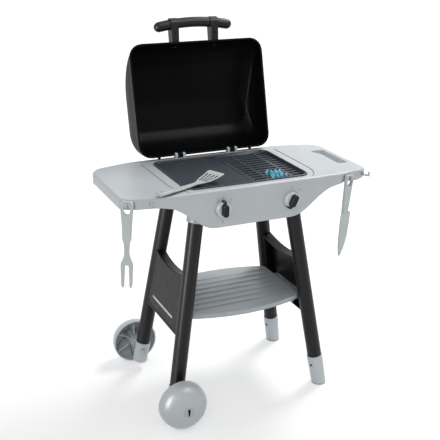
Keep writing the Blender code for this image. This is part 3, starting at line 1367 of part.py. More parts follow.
def make_knob_grip(name, knob_x, turn):
    """Fin across the dial whose pointer bends over the dial's edge down to the collar."""
    low = DIAL_FRONT + GAP
    high = low + FIN_HEIGHT
    corners = ((-FIN_HALF_WIDTH, -FIN_HALF_LENGTH, FIN_HALF_WIDTH), (FIN_HALF_WIDTH, -FIN_HALF_LENGTH, FIN_HALF_WIDTH),
               (FIN_HALF_WIDTH, FIN_HALF_LENGTH, FIN_HALF_WIDTH), (-FIN_HALF_WIDTH, FIN_HALF_LENGTH, FIN_HALF_WIDTH))
    loops = soft_loops(corners, low, high, high_round=FIN_ROUND, inset=GAP / 10)
    grip = lofted(name, [[knob_point(knob_x, turn, *point) for point in loop] for loop in loops])
    inner = DIAL_RADIUS + GAP
    outer = inner + TAIL_THICKNESS
    foot = COLLAR_HEIGHT + 2 * GAP
    outline = ((FIN_HALF_WIDTH / 2, low + SEAM), (inner, low + SEAM), (inner, foot), (outer, foot),
               (outer, low + SEAM), (outer - TAIL_THICKNESS / 2, low + TAIL_DROP / 2),
               (FIN_HALF_LENGTH - TAIL_THICKNESS, low + TAIL_DROP), (FIN_HALF_WIDTH / 2, low + TAIL_DROP))
    tail = lofted("tail", [[knob_point(knob_x, turn, across, up, depth) for up, depth in outline]
                           for across in (-TAIL_HALF_WIDTH, TAIL_HALF_WIDTH)])
    weld(grip, tail)
    return finished(grip, BLACK, (knob_x, -FRONT_Y, KNOB_Z))


def make_click_wheel(name, knob_x):
    """Toothed wheel on a knob's shaft, just behind the fascia."""
    front = -MOULDING_WALL - GAP
    outline = []
    for i, turn in enumerate(full_turn(2 * CLICK_TEETH)):
        radius = CLICK_ROOT_RADIUS if i % 2 else CLICK_TIP_RADIUS
        outline.append((radius * math.sin(turn), radius * math.cos(turn)))
    wheel = lofted(name, [[knob_point(knob_x, 0, across, up, depth) for across, up in outline]
                          for depth in (front, front - CLICK_THICKNESS)])
    bore = SHAFT_RADIUS + GAP
    cut(wheel, turned("bore", ((bore, front + OVERRUN), (bore, front - CLICK_THICKNESS - OVERRUN)),
                      knob_frame(knob_x), ROUND_SIDES))
    return finished(wheel, WHITE_PLASTIC, (knob_x, -FRONT_Y, KNOB_Z))


def make_click_spring(name, knob_x, side):
    """Springy finger over the click wheel, with its pad against the back of the fascia."""
    front = -MOULDING_WALL - GAP
    nib = CLICK_TIP_RADIUS + GAP
    leaf_top = SPRING_LEAF_Z + SPRING_LEAF
    outline = ((-SPRING_NIB_HALF, nib), (SPRING_NIB_HALF, nib), (2 * SPRING_NIB_HALF, SPRING_LEAF_Z),
               (SPRING_PAD_INNER, SPRING_LEAF_Z), (SPRING_PAD_INNER, SPRING_PAD_LOW),
               (SPRING_PAD_OUTER, SPRING_PAD_LOW), (SPRING_PAD_OUTER, SPRING_PAD_HIGH),
               (SPRING_PAD_INNER, SPRING_PAD_HIGH), (SPRING_PAD_INNER - SPRING_LEAF, leaf_top),
               (-2 * SPRING_NIB_HALF, leaf_top))
    spring = lofted(name, [[knob_point(knob_x, 0, side * across, up, depth) for across, up in outline]
                           for depth in (front, front - CLICK_THICKNESS)])
    return finished(spring, WHITE_PLASTIC)


# Lid and handle


def lid_up():
    """Direction up the open lid's mouth."""
    return Vector((0, math.sin(LID_LEAN), math.cos(LID_LEAN)))


def lid_back():
    """Direction from the open lid's mouth into its dome."""
    return Vector((0, math.cos(LID_LEAN), -math.sin(LID_LEAN)))


def lid_point(x, height, depth):
    """Place in the open lid: height up its open side, depth back from it."""
    return Vector((x, HINGE_Y, hinge_z())) + lid_up() * height + lid_back() * (depth - HINGE_SETBACK)


def bulge(share, power):
    """Runs from 0 at the rim to 1 at the crest, ever steeper."""
    return 1 - max(0.0, 1 - share ** power) ** (1 / power)


def lid_section(share):
    """Half width, lower and upper height of the lid's outside at a share of its depth."""
    width = LID_HALF_WIDTH - LID_SIDE_DRAFT * bulge(share, LID_SIDE_POWER)
    low = LID_CREST_H * bulge(share, LID_LOWER_POWER)
    high = LID_HEIGHT - (LID_HEIGHT - LID_CREST_H) * bulge(share, LID_UPPER_POWER)
    return width, low, high


def lid_loop(share, depth, inset):
    width, low, high = lid_section(share)
    width -= inset
    low += inset
    high -= inset
    radius = min(LID_CORNER_RADIUS - inset, (high - low) / 2.2)
    corners = ((-width, low, radius), (width, low, radius), (width, high, radius), (-width, high, radius))
    return [lid_point(x, height, depth) for x, height in rounded_outline(corners)]


def lid_top_height(depth):
    """Height of the lid's outside above its hinge edge at a depth."""
    return lid_section(depth / LID_DOME_DEPTH)[2]


def make_lid_shell(name):
    loops = [lid_loop(share, share * LID_DOME_DEPTH, 0) for share in reversed(LID_DEPTH_SHARES)]
    loops.append(lid_loop(0, LID_LIP_DEPTH + LID_LIP, 0))
    loops.append(lid_loop(0, LID_LIP_DEPTH, -LID_LIP))
    loops.append(lid_loop(0, 0, -LID_LIP))
    loops.append(lid_loop(0, 0, LID_WALL))
    inner_depth = LID_DOME_DEPTH - LID_WALL
    loops += [lid_loop(share, share * inner_depth, LID_WALL) for share in LID_HOLLOW_SHARES]
    shell = lofted(name, loops)
    cut(shell, *[ear_notch(side, start) for side in (-1, 1) for start in ear_starts(side)])
    for side in (-1, 1):
        lug = rod("lug", (side * HINGE_X - LUG_HALF_LENGTH, HINGE_Y, hinge_z()),
                  (side * HINGE_X + LUG_HALF_LENGTH, HINGE_Y, hinge_z()), LUG_RADIUS, ROUND_SIDES)
        weld(shell, lug, lid_stop(side))
        cut(shell, hinge_rod("hole", side, HINGE_PIN_RADIUS + GAP, OVERRUN))
        cut(shell, handle_screw_rod("hole", side, SCREW_RADIUS + GAP))
    return finished(shell, BLACK, (0, HINGE_Y, hinge_z()))


def ear_notch(side, start):
    """Clearance in the lid's hinge wall for one ear, and for the pin's head beside the outer one."""
    reach = LUG_RADIUS + NOTCH_PLAY
    outline = ((-reach - OVERRUN, -OVERRUN), (reach, -OVERRUN), (reach, HINGE_SETBACK + reach),
               (-reach - OVERRUN, HINGE_SETBACK + reach))
    ends = [start - HINGE_PLAY + GAP / 3, start + EAR_LENGTH + HINGE_PLAY - GAP / 3]
    if abs(start) > HINGE_X:
        ends[max(side, 0)] += side * (HINGE_PIN_HEAD_LENGTH + 2 * GAP)
    return lofted("notch", [[lid_point(x, height, depth) for height, depth in outline] for x in ends])


def lid_stop(side):
    """Rib on the hinge wall that comes to rest on the table top's rear edge."""
    middle = (STOP_FRONT_Y + STOP_REAR_Y) / 2
    depth = HINGE_SETBACK + (middle - HINGE_Y) / math.cos(LID_LEAN)
    high = lid_point(0, LID_WALL / 2, depth).z
    return box("stop", (side * STOP_X - STOP_HALF_WIDTH, STOP_FRONT_Y, TABLE_TOP_Z + GAP),
               (side * STOP_X + STOP_HALF_WIDTH, STOP_REAR_Y, high))


def handle_height(x):
    """Height of the bar's centre line in the open lid."""
    share = x / HANDLE_HALF_LENGTH
    return LID_HEIGHT + HANDLE_RISE - HANDLE_BOW * share * share


def handle_rod(name, radius):
    """Bowed bar with round ends, or its bore when made thicker."""
    straight = HANDLE_HALF_LENGTH - HANDLE_RADIUS
    spots = [(straight * (2 * i / HANDLE_STEPS - 1), 1.0) for i in range(HANDLE_STEPS + 1)]
    ends = []
    for i in range(1, HANDLE_END_STEPS + 1):
        turn = math.pi / 2 * i / (HANDLE_END_STEPS + 0.35)
        ends.append((straight + HANDLE_RADIUS * math.sin(turn), math.cos(turn)))
    spots = [(-x, share) for x, share in reversed(ends)] + spots + ends
    places = [lid_point(x, handle_height(x), HANDLE_DEPTH) for x, share in spots]
    return swept(name, places, [radius * share for x, share in spots], lid_up(), ROUND_SIDES)


def make_handle_bar(name):
    return finished(handle_rod(name, HANDLE_RADIUS), BLACK, (0, HINGE_Y, hinge_z()))


def make_handle_post(name, side):
    """Post from the dome to a collar round the bar, with a slot through its foot."""
    middle = side * POST_X
    collar = handle_height(POST_X)
    outline = []
    for i in range(POST_FOOT_STEPS + 1):
        depth = POST_FOOT_FRONT + (POST_FOOT_REAR - POST_FOOT_FRONT) * i / POST_FOOT_STEPS
        outline.append((lid_top_height(depth) + POST_SEAT, depth))
    sweep = math.tau - 2 * POST_COLLAR_OPENING
    for i in range(POST_COLLAR_STEPS + 1):
        turn = POST_COLLAR_OPENING + sweep * i / POST_COLLAR_STEPS
        outline.append((collar - POST_COLLAR_RADIUS * math.cos(turn),
                        HANDLE_DEPTH + POST_COLLAR_RADIUS * math.sin(turn)))
    foot = lid_top_height(POST_FOOT_REAR)
    loops = []
    for way in (-1, 1):
        loop = []
        for height, depth in outline:
            share = min(1.0, (height - foot) / (collar - foot))
            half = POST_FOOT_HALF + (POST_COLLAR_HALF - POST_FOOT_HALF) * share
            loop.append(lid_point(middle + way * half, height, depth))
        loops.append(loop)
    post = lofted(name, loops)
    low = LID_HEIGHT + POST_SLOT_RISE
    high = low + POST_SLOT_LENGTH
    slot = ((middle - POST_SLOT_HALF, low), (middle + POST_SLOT_HALF, low),
            (middle + POST_SLOT_HALF, high), (middle - POST_SLOT_HALF, high))
    through = lofted("slot", [[lid_point(x, height, depth) for x, height in slot]
                              for depth in (-OVERRUN, POST_FOOT_REAR + OVERRUN)])
    cut(post, handle_rod("bore", HANDLE_RADIUS + GAP), through)
    cut(post, handle_screw_rod("hole", side, SCREW_RADIUS + GAP))
    return finished(post, BLACK, (0, HINGE_Y, hinge_z()))


def handle_screw_frame(side):
    """Frame on the lid's outside under a post, whose Z points square out of the dome."""
    step = LID_WALL
    low = lid_top_height(HANDLE_SCREW_DEPTH - step)
    high = lid_top_height(HANDLE_SCREW_DEPTH + step)
    outward = lid_up() - lid_back() * (high - low) / (2 * step)
    place = lid_point(side * POST_X, lid_top_height(HANDLE_SCREW_DEPTH), HANDLE_SCREW_DEPTH)
    return axis_frame(place, outward, (1, 0, 0))


def handle_screw_rod(name, side, radius):
    profile = ((radius, -LID_WALL - OVERRUN / 2), (radius, HANDLE_SCREW_LENGTH + GAP))
    return turned(name, profile, handle_screw_frame(side), SMALL_SIDES)


def make_handle_screw(name, side):
    seat = -LID_WALL - 3 * GAP
    profile = ((SCREW_RADIUS, HANDLE_SCREW_LENGTH), (SCREW_RADIUS, seat), (SCREW_HEAD_RADIUS, seat),
               (SCREW_HEAD_RADIUS, seat - SCREW_HEAD_HEIGHT / 2), (SCREW_RADIUS, seat - SCREW_HEAD_HEIGHT))
    screw = turned(name, profile, handle_screw_frame(side), SMALL_SIDES)
    return finished(screw, STEEL, (0, HINGE_Y, hinge_z()))


# Tools


def tool_frame(peg, hang):
    """Frame at the centre of a hanging tool's hole: X across, Y up, Z out of the skirt."""
    frame = peg_frames()[peg]
    outward = frame.to_3x3() @ Vector((0, 0, 1))
    pivot = frame.translation
    upright = axis_frame(pivot, outward, Vector((0, 0, 1)).cross(outward)) @ Matrix.Rotation(-hang, 4, "Z")
    return upright @ Matrix.Translation((0, PEG_RADIUS + GAP - TOOL_HOLE_HALF_HEIGHT, 0)), pivot


def tool_slab(name, frame, outline, near, far, edge=0.0):
    """Flat outline in a tool's frame between two distances from the skirt, its edges taken off."""
    stages = ((0.0, near), (0.0, far))
    if edge:
        stages = ((edge / 2, near), (0.0, near + edge / 2), (0.0, far - edge), (edge / 3, far - edge / 3), (edge, far))
    corners = [(x, y, 0) for x, y in outline]
    return lofted(name, [[frame @ Vector((x, y, depth)) for x, y in rounded_outline(corners, inset)]
                         for inset, depth in stages])


def tool_hole(frame):
    outline = [(TOOL_HOLE_HALF_WIDTH * math.cos(turn), TOOL_HOLE_HALF_HEIGHT * math.sin(turn))
               for turn in full_turn(ROUND_SIDES)]
    return tool_slab("hole", frame, outline, TOOL_STANDOFF - OVERRUN, PEG_REACH + OVERRUN)


def make_fork(name):
    frame, pivot = tool_frame("left_corner", FORK_HANG)

    def mirrored(shares):
        right = [(FORK_HALF_WIDTH * width, FORK_ABOVE_HOLE - FORK_LENGTH * drop) for drop, width in shares]
        return right + [(-x, y) for x, y in reversed(right)]

    near = TOOL_STANDOFF
    far = TOOL_STANDOFF + FORK_THICKNESS
    middle = (near + far) / 2
    fork = tool_slab(name, frame, mirrored(FORK_HANDLE_SHARES), near, far, TOOL_EDGE)
    weld(fork, tool_slab("head", frame, mirrored(FORK_HEAD_SHARES + FORK_TINE_SHARES),
                         middle - FORK_HEAD_THICKNESS / 2, middle + FORK_HEAD_THICKNESS / 2, FORK_HEAD_EDGE))
    cut(fork, tool_hole(frame))
    return finished(fork, TOOL_GREY, pivot)


def make_knife(name):
    frame, pivot = tool_frame("right_front", KNIFE_HANG)

    def place(drop_share, width_share):
        return KNIFE_HALF_WIDTH * width_share, KNIFE_ABOVE_HOLE - KNIFE_LENGTH * drop_share

    right = [place(drop, width) for drop, width in KNIFE_HANDLE_SHARES]
    handle = right + [(-x, y) for x, y in reversed(right)]
    blade = [place(drop, width) for drop, width in KNIFE_EDGE_SHARES + KNIFE_SPINE_SHARES]
    near = TOOL_STANDOFF
    far = TOOL_STANDOFF + KNIFE_HANDLE_THICKNESS
    middle = (near + far) / 2
    knife = tool_slab(name, frame, handle, near, far, TOOL_EDGE)
    weld(knife, tool_slab("blade", frame, blade, middle - KNIFE_BLADE_THICKNESS / 2,
                          middle + KNIFE_BLADE_THICKNESS / 2))
    cut(knife, tool_hole(frame))
    return finished(knife, TOOL_GREY, pivot)


def spatula_point(along, across, height):
    """Place on the spatula: along and across it, at a height over the rim that it lies on."""
    x = SPATULA_END_X + along * math.cos(SPATULA_HEADING) - across * math.sin(SPATULA_HEADING)
    y = SPATULA_END_Y + along * math.sin(SPATULA_HEADING) + across * math.cos(SPATULA_HEADING)
    return Vector((x, y, INSERT_RIM_Z + GAP + height))


def make_spatula(name):
    loops = []
    for along_share, width_share, rise_share, thick_share in SPATULA_FORM_SHARES:
        half = width_share * SPATULA_HALF_WIDTH
        low = rise_share * SPATULA_ARCH
        high = low + thick_share * SPATULA_THICKNESS
        edge = (high - low) / 3
        right = ((half - edge / 2, low), (half, low + edge / 2), (half, high - edge),
                 (half - edge / 3, high - edge / 3), (half - edge, high))
        ring = right + tuple((-across, height) for across, height in reversed(right))
        loops.append([spatula_point(along_share * SPATULA_LENGTH, across, height) for across, height in ring])
    spatula = lofted(name, loops)
    cut(spatula, *[spatula_slot(i - (SPATULA_SLOT_COUNT - 1) / 2) for i in range(SPATULA_SLOT_COUNT)])
    hole = SPATULA_HOLE_SHARE * SPATULA_LENGTH
    top = SPATULA_ARCH + SPATULA_THICKNESS + OVERRUN
    cut(spatula, rod("hole", spatula_point(hole, 0, -OVERRUN), spatula_point(hole, 0, top), SPATULA_HOLE_RADIUS))
    return finished(spatula, TOOL_GREY, spatula_point(SPATULA_PIVOT_SHARE * SPATULA_LENGTH, 0, 0))


def spatula_slot(number):
    """One of the fanned slots of the head, counted from its middle."""
    start = SPATULA_SLOT_START_SHARE * SPATULA_LENGTH
    end = SPATULA_SLOT_END_SHARE * SPATULA_LENGTH
    first = number * SPATULA_SLOT_START_PITCH
    last = number * SPATULA_SLOT_END_PITCH
    half = SPATULA_SLOT_HALF_WIDTH
    outline = ((start, first - half), (end, last - half), (end, last + half), (start, first + half))
    return lofted("slot", [[spatula_point(along, across, height) for along, across in outline]
                           for height in (-OVERRUN, SPATULA_ARCH + SPATULA_THICKNESS + OVERRUN)])


def stand_on_origin():
    """Move everything so that the middle of the whole object's foot is the origin."""
    bpy.context.view_layer.update()
    corners = [thing.matrix_world @ Vector(corner) for thing in bpy.data.objects for corner in thing.bound_box]
    low = [min(corner[i] for corner in corners) for i in range(3)]
    high = [max(corner[i] for corner in corners) for i in range(3)]
    shift = Vector(((low[0] + high[0]) / 2, (low[1] + high[1]) / 2, low[2]))
    for thing in bpy.data.objects:
        thing.location -= shift


def main():
    clear_scene()
    make_table_top("table_top")
    make_cooking_insert("cooking_insert")
    make_flame_piece("flame_piece")
    make_flame_cam("flame_cam")
    make_flame_housing("flame_housing")
    make_lid_shell("lid_shell")
    make_handle_bar("handle_bar")
    for side, word in ((-1, "left"), (1, "right")):
        make_handle_post(word + "_handle_post", side)
        make_handle_screw(word + "_handle_screw", side)
        make_hinge_pin(word + "_hinge_pin", side)
        make_side_panel(word + "_side_panel", side)
        knob_x = LEFT_KNOB_X if side < 0 else RIGHT_KNOB_X
        make_knob_dial(word + "_knob_dial", knob_x, LEFT_SHAFT_REACH if side < 0 else RIGHT_SHAFT_REACH)
        make_knob_grip(word + "_knob_grip", knob_x, 0 if side < 0 else RIGHT_KNOB_TURN)
        make_click_wheel(word + "_click_wheel", knob_x)
        make_click_spring(word + "_click_spring", knob_x, -side)
        for end, place in ((-1, "front_"), (1, "rear_")):
            make_leg(place + word + "_leg", side, end)
            make_leg_screw(place + word + "_leg_screw", side, end)
            make_panel_pin(place + word + "_panel_pin", side, end)
    for end, place in ((-1, "front_"), (1, "rear_")):
        make_foot(place + "right_foot", end)
        make_foot_pin(place + "foot_pin", end)
        make_axle_socket(place + "left_axle_socket", end)
        make_wheel(place + "wheel", end)
        make_axle_pin(place + "axle_pin", end)
    make_shelf("shelf")
    make_fork("fork")
    make_knife("knife")
    make_spatula("spatula")
    stand_on_origin()


main()
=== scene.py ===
"""Looks of the toy barbecue grill: finishes, soft edges, small raised parts, floor, lamps and camera.

Metres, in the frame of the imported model. Each solid gets a skin with merged, smooth faces and small
rounded edges, and each skin a moulded or metal finish made of nodes.
"""
import json
import math

import bmesh
import bpy
from mathutils import Matrix, Vector
from mathutils.bvhtree import BVHTree
from mathutils.kdtree import KDTree

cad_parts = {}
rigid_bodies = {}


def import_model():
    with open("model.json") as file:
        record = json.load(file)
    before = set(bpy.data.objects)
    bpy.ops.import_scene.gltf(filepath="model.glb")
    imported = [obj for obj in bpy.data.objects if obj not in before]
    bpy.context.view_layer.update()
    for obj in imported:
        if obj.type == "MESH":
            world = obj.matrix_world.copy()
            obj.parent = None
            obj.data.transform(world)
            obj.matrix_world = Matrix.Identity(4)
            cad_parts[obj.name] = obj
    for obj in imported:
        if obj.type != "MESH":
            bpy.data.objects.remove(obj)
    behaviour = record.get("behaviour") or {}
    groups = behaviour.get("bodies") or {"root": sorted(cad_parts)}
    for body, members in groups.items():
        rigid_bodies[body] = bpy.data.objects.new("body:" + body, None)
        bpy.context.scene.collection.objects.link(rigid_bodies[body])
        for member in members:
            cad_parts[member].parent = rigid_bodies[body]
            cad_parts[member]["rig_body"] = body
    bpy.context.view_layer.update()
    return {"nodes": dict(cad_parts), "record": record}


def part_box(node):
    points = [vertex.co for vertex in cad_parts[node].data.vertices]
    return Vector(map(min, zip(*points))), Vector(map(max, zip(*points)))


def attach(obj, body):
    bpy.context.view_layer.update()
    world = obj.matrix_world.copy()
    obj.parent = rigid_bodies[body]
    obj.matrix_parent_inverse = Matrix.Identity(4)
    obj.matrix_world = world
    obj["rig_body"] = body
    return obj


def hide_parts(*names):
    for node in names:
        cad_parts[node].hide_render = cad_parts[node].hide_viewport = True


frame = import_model()

# Camera of the photograph, from the middle of the legs on the floor
CAMERA_PLACE = Vector((-0.7046, -1.4955, 0.9714))
CAMERA_YAW = 0.4287
CAMERA_PITCH = 0.3537
CAMERA_ROLL = 0.0093
IMAGE_SIZE = 440
FOCAL_PIXELS = 857.1
SENSOR_MILLIMETRES = 36.0

# Skins: merged points, soft shading and curves bowed between the points of the solids
MERGE_DISTANCE = 0.00001
FLAT_ANGLE = math.radians(0.6)
SMOOTH_ANGLE = math.radians(38)
BOW_LIMIT = math.radians(50)
LONGEST_BOW = 0.032
LEAST_BOW = 0.00003
UNEQUAL = 2.6
BOW_ROUNDS = 2
FLAT_WEIGHT = 60

# Floor and surroundings
FLOOR_SIZE = 30.0
FLOOR_COLOUR = 0.85
FLOOR_ROUGHNESS = 0.8
NEAR_GLOW = 0.41
FAR_GLOW = 0.66
NEAR_DISTANCE = 0.9
FAR_DISTANCE = 2.6
WORLD_STRENGTH = 0.52

# Lamps: name, place from the middle of the legs, width, height, power, whether it shows in gloss only
LAMP_TARGET = Vector((0, 0, 0.4))
LAMPS = (
    ("key", Vector((1.1, 0.7, 1.9)), 0.7, 0.7, 19.0, False),
    ("fill", Vector((-1.2, -1.8, 1.6)), 0.9, 0.9, 4.9, False),
    ("strip", Vector((-1.75, -0.55, 0.5)), 0.5, 1.7, 52.0, True),
    ("edge", Vector((0.9, -0.75, 2.3)), 0.8, 0.8, 20.0, True),
)

# Finishes: patches of tone, rubbed edges, painted shade in crevices, uneven shine, grain and softened
# edges
PATCH_SCALE = 22.0
PATCH_DETAIL = 4.0
PATCH_RANGE = (0.3, 0.7)
RUB_RANGE = (0.50, 0.62)
RUB_SHARE = 0.25
RUB_GAIN = 1.15
RUB_LIFT = 0.01
# Painted shade in crevices: reach of the occlusion, and the range carried over to each finish's crevice
# tone
CREVICE_SHADE_DISTANCE = 0.007
CREVICE_SHADE_RANGE = (0.25, 0.85)
SCUFF_SCALE = 90.0
SCUFF_DETAIL = 6.0
SCUFF_DISTORTION = 0.4
DULLEST = 1.18
SHINIEST = 0.82
GRAIN_DETAIL = 2.0
GRAIN_STRENGTH = 0.35
EDGE_RADIUS = 0.0007
WIDE_EDGES = {"table_grey": 0.0035, "shelf_grey": 0.0030, "panel": 0.0020, "lid": 0.0012}
NODE_SAMPLES = 6

# Shelf tongues where they stand out of the side panels
TONGUE_LENGTH = 0.109
TONGUE_LOW_Z = 0.1909
TONGUE_HIGH_Z = 0.1960
TONGUE_PROUD = 0.0011
TONGUE_DEPTH = 0.0012
TONGUE_EDGE = 0.0007
TONGUE_EDGE_STEPS = 3

# Painted shade of the coin slots in the heads of the axle pins: reach and half width of the wide and the
# narrow end
SLOT_WIDE = (0.0052, 0.0027)
SLOT_NARROW = (-0.0062, 0.0013)
SLOT_PROUD = 0.00015
SLOT_DEPTH = 0.0008
SLOT_STEPS = 8

# Small domes: height, sides and rings
DOME_HEIGHT = 0.0006
DOME_SIDES = 24
DOME_RINGS = 5

# Painted shade of the pin holes on the feet: turn from the front to the left, half width, start of the
# search outside
FOOT_DOT_TURN = math.radians(71)
FOOT_DOT_HALF = 0.0033
FOOT_REACH = 0.06

# Raised dots on the front: knob, place across and up from its axis, half width, drop below
FASCIA_Y = -0.133098
FASCIA_DOTS = (
    ("left_knob_dial", 0.0006, 0.0231, 0.0017, 0.0),
    ("left_knob_dial", 0.0183, 0.0159, 0.0014, 0.0),
    ("left_knob_dial", -0.0103, 0.0185, 0.0014, 0.0),
    ("left_knob_dial", 0.0007, -0.0245, 0.0017, 0.0028),
    ("right_knob_dial", 0.0014, 0.0240, 0.0017, 0.0),
    ("right_knob_dial", 0.0195, 0.0167, 0.0014, 0.0),
)


def linear(red, green, blue):
    """Linear colour of the 0 to 255 values seen on screen."""
    shares = [value / 255 for value in (red, green, blue)]
    return tuple(v / 12.92 if v <= 0.04045 else ((v + 0.055) / 1.055) ** 2.4 for v in shares)


# Finishes by look: screen colour, roughness, grain size, grain height, mottle, gloss, tone of the painted
# shade in crevices
FINISHES = {
    "table_grey": (linear(205, 211, 215), 0.36, 0.0009, 0.00004, 0.03, 0.50, 0.45),
    # The knob dials' own lighter grey; the shelf tongue ends take it too, as painted light
    "dial": (linear(229, 236, 240), 0.34, 0.0009, 0.00004, 0.03, 0.50, 0.45),
    "wheel_grey": (linear(202, 209, 213), 0.38, 0.0011, 0.00003, 0.015, 0.90, 0.30),
    "pin": (linear(196, 203, 207), 0.42, 0.0011, 0.00003, 0.015, 0.50, 0.06),
    # Painted shade: dark finish of the foot pins and their dots, standing for the shade in the pin holes
    "pin_hole_shade": (linear(50, 53, 56), 0.42, 0.0011, 0.00003, 0.05, 0.30, 0.45),
    # Painted shade: near-black finish of the bars that stand for the shade inside the coin slots
    "slot_shade": (linear(14, 15, 16), 0.60, 0.0011, 0.00003, 0.10, 0.10, 0.45),
    "shelf_grey": (linear(186, 193, 197), 0.38, 0.0010, 0.00004, 0.04, 0.50, 0.45),
    "insert_grey": (linear(56, 64, 72), 0.45, 0.0012, 0.00008, 0.10, 0.40, 0.45),
    "black_plastic": (linear(12, 12, 14), 0.38, 0.0013, 0.00003, 0.20, 0.27, 0.45),
    "lid": (linear(11, 11, 13), 0.38, 0.0013, 0.00004, 0.20, 0.06, 0.45),
    "panel": (linear(12, 12, 14), 0.42, 0.0026, 0.00040, 0.20, 0.20, 0.45),
    "flame_blue": (linear(122, 214, 242), 0.25, 0.0020, 0.00003, 0.06, 0.50, 0.60),
    "tool_grey": (linear(207, 215, 214), 0.36, 0.0010, 0.00004, 0.03, 0.50, 0.45),
    "natural_plastic": (linear(215, 215, 208), 0.40, 0.0010, 0.00004, 0.05, 0.50, 0.45),
    "screw_steel": (linear(190, 190, 192), 0.28, 0.0006, 0.00003, 0.10, 0.50, 0.45),
    "dark_screw": (linear(52, 52, 55), 0.34, 0.0006, 0.00003, 0.10, 0.50, 0.45),
}

# Nodes whose finish differs from the rest of their material slot
NODE_LOOKS = {
    "left_knob_dial": "dial",
    "right_knob_dial": "dial",
    "front_axle_pin": "pin",
    "rear_axle_pin": "pin",
    "front_foot_pin": "pin_hole_shade",
    "rear_foot_pin": "pin_hole_shade",
    "left_side_panel": "panel",
    "right_side_panel": "panel",
    "lid_shell": "lid",
    "left_handle_screw": "dark_screw",
    "right_handle_screw": "dark_screw",
}


def add(tree, kind, **settings):
    """New node with its properties set."""
    node = tree.nodes.new(kind)
    for name, value in settings.items():
        setattr(node, name, value)
    return node


def tint(colour, gain, lift=0.0):
    """Lighter or darker colour with full opacity."""
    return (*[min(1.0, value * gain + lift) for value in colour], 1)


def noise(tree, place, scale, detail, distortion=0.0):
    """Noise of one scale over the object's own coordinates."""
    node = add(tree, "ShaderNodeTexNoise")
    node.inputs["Scale"].default_value = scale
    node.inputs["Detail"].default_value = detail
    node.inputs["Distortion"].default_value = distortion
    tree.links.new(place, node.inputs["Vector"])
    return node.outputs["Fac"]


def ramp(tree, value, positions, colours):
    """Colour that runs between two colours as a value runs between two positions."""
    node = add(tree, "ShaderNodeValToRGB")
    for element, position, colour in zip(node.color_ramp.elements, positions, colours):
        element.position = position
        element.color = colour
    tree.links.new(value, node.inputs["Fac"])
    return node.outputs["Color"]


def remap(tree, value, source, target):
    """Value carried from one range over to another."""
    node = add(tree, "ShaderNodeMapRange")
    for name, number in zip(("From Min", "From Max", "To Min", "To Max"), (*source, *target)):
        node.inputs[name].default_value = number
    tree.links.new(value, node.inputs["Value"])
    return node.outputs["Result"]


def finish_material(look, slot):
    """Moulded or metal finish: faint mottle and rub marks, painted shade darkening the crevices, fine
    grain, softened edges.
    """
    colour, roughness, grain, height, mottle, gloss, crevice_shade_tone = FINISHES[look]
    material = bpy.data.materials.new(slot)
    material.use_nodes = True
    tree = material.node_tree
    link = tree.links.new
    shader = tree.nodes["Principled BSDF"]
    place = add(tree, "ShaderNodeTexCoord").outputs["Object"]
    patches = noise(tree, place, PATCH_SCALE, PATCH_DETAIL)
    tones = ramp(tree, patches, PATCH_RANGE, (tint(colour, 1 - mottle), tint(colour, 1 + mottle)))
    wear = add(tree, "ShaderNodeNewGeometry").outputs["Pointiness"]
    rub = ramp(tree, wear, RUB_RANGE, (tint((0, 0, 0), 1), tint((1, 1, 1), RUB_SHARE)))
    worn = add(tree, "ShaderNodeMix", data_type="RGBA")
    worn.inputs[7].default_value = tint(colour, RUB_GAIN, RUB_LIFT)
    link(rub, worn.inputs[0])
    link(tones, worn.inputs[6])
    # Painted shade: ambient occlusion darkens the colour in crevices, corners and between parts
    crevice_shade = add(tree, "ShaderNodeAmbientOcclusion", samples=NODE_SAMPLES)
    crevice_shade.inputs["Distance"].default_value = CREVICE_SHADE_DISTANCE
    shaded = add(tree, "ShaderNodeMix", data_type="RGBA", blend_type="MULTIPLY")
    shaded.inputs[0].default_value = 1.0
    link(worn.outputs[2], shaded.inputs[6])
    link(remap(tree, crevice_shade.outputs["AO"], CREVICE_SHADE_RANGE, (crevice_shade_tone, 1.0)), shaded.inputs[7])
    link(shaded.outputs[2], shader.inputs["Base Color"])
    scuffs = noise(tree, place, SCUFF_SCALE, SCUFF_DETAIL, SCUFF_DISTORTION)
    link(remap(tree, scuffs, (0.0, 1.0), (roughness * SHINIEST, roughness * DULLEST)),
         shader.inputs["Roughness"])
    soft = add(tree, "ShaderNodeBevel", samples=NODE_SAMPLES)
    soft.inputs["Radius"].default_value = WIDE_EDGES.get(look, EDGE_RADIUS)
    bump = add(tree, "ShaderNodeBump")
    bump.inputs["Strength"].default_value = GRAIN_STRENGTH
    bump.inputs["Distance"].default_value = height
    link(noise(tree, place, 1 / grain, GRAIN_DETAIL), bump.inputs["Height"])
    link(soft.outputs["Normal"], bump.inputs["Normal"])
    link(bump.outputs["Normal"], shader.inputs["Normal"])
    shader.inputs["Metallic"].default_value = 1.0 if slot == "screw_steel" else 0.0
    shader.inputs["Specular IOR Level"].default_value = gloss
    return material


def new_object(name, build, material, smooth=True):
    """Object made from a bmesh, with one material."""
    mesh = bpy.data.meshes.new(name)
    build.to_mesh(mesh)
    build.free()
    mesh.materials.append(material)
    if smooth:
        mesh.shade_smooth()
    piece = bpy.data.objects.new(name, mesh)
    bpy.context.scene.collection.objects.link(piece)
    return piece


def fan_normal(point, face, sharp, areas):
    """Mean normal, by area, of the faces round a point that a face reaches over soft edges."""
    fan = {face}
    waiting = [face]
    while waiting:
        for edge in waiting.pop().edges:
            if point in edge.verts and edge not in sharp:
                for other in edge.link_faces:
                    if other not in fan:
                        fan.add(other)
                        waiting.append(other)
    total = Vector()
    for other in fan:
        for loop in other.loops:
            if loop.vert is point:
                total += other.normal * loop.calc_angle() * areas[other]
    return total.normalized()


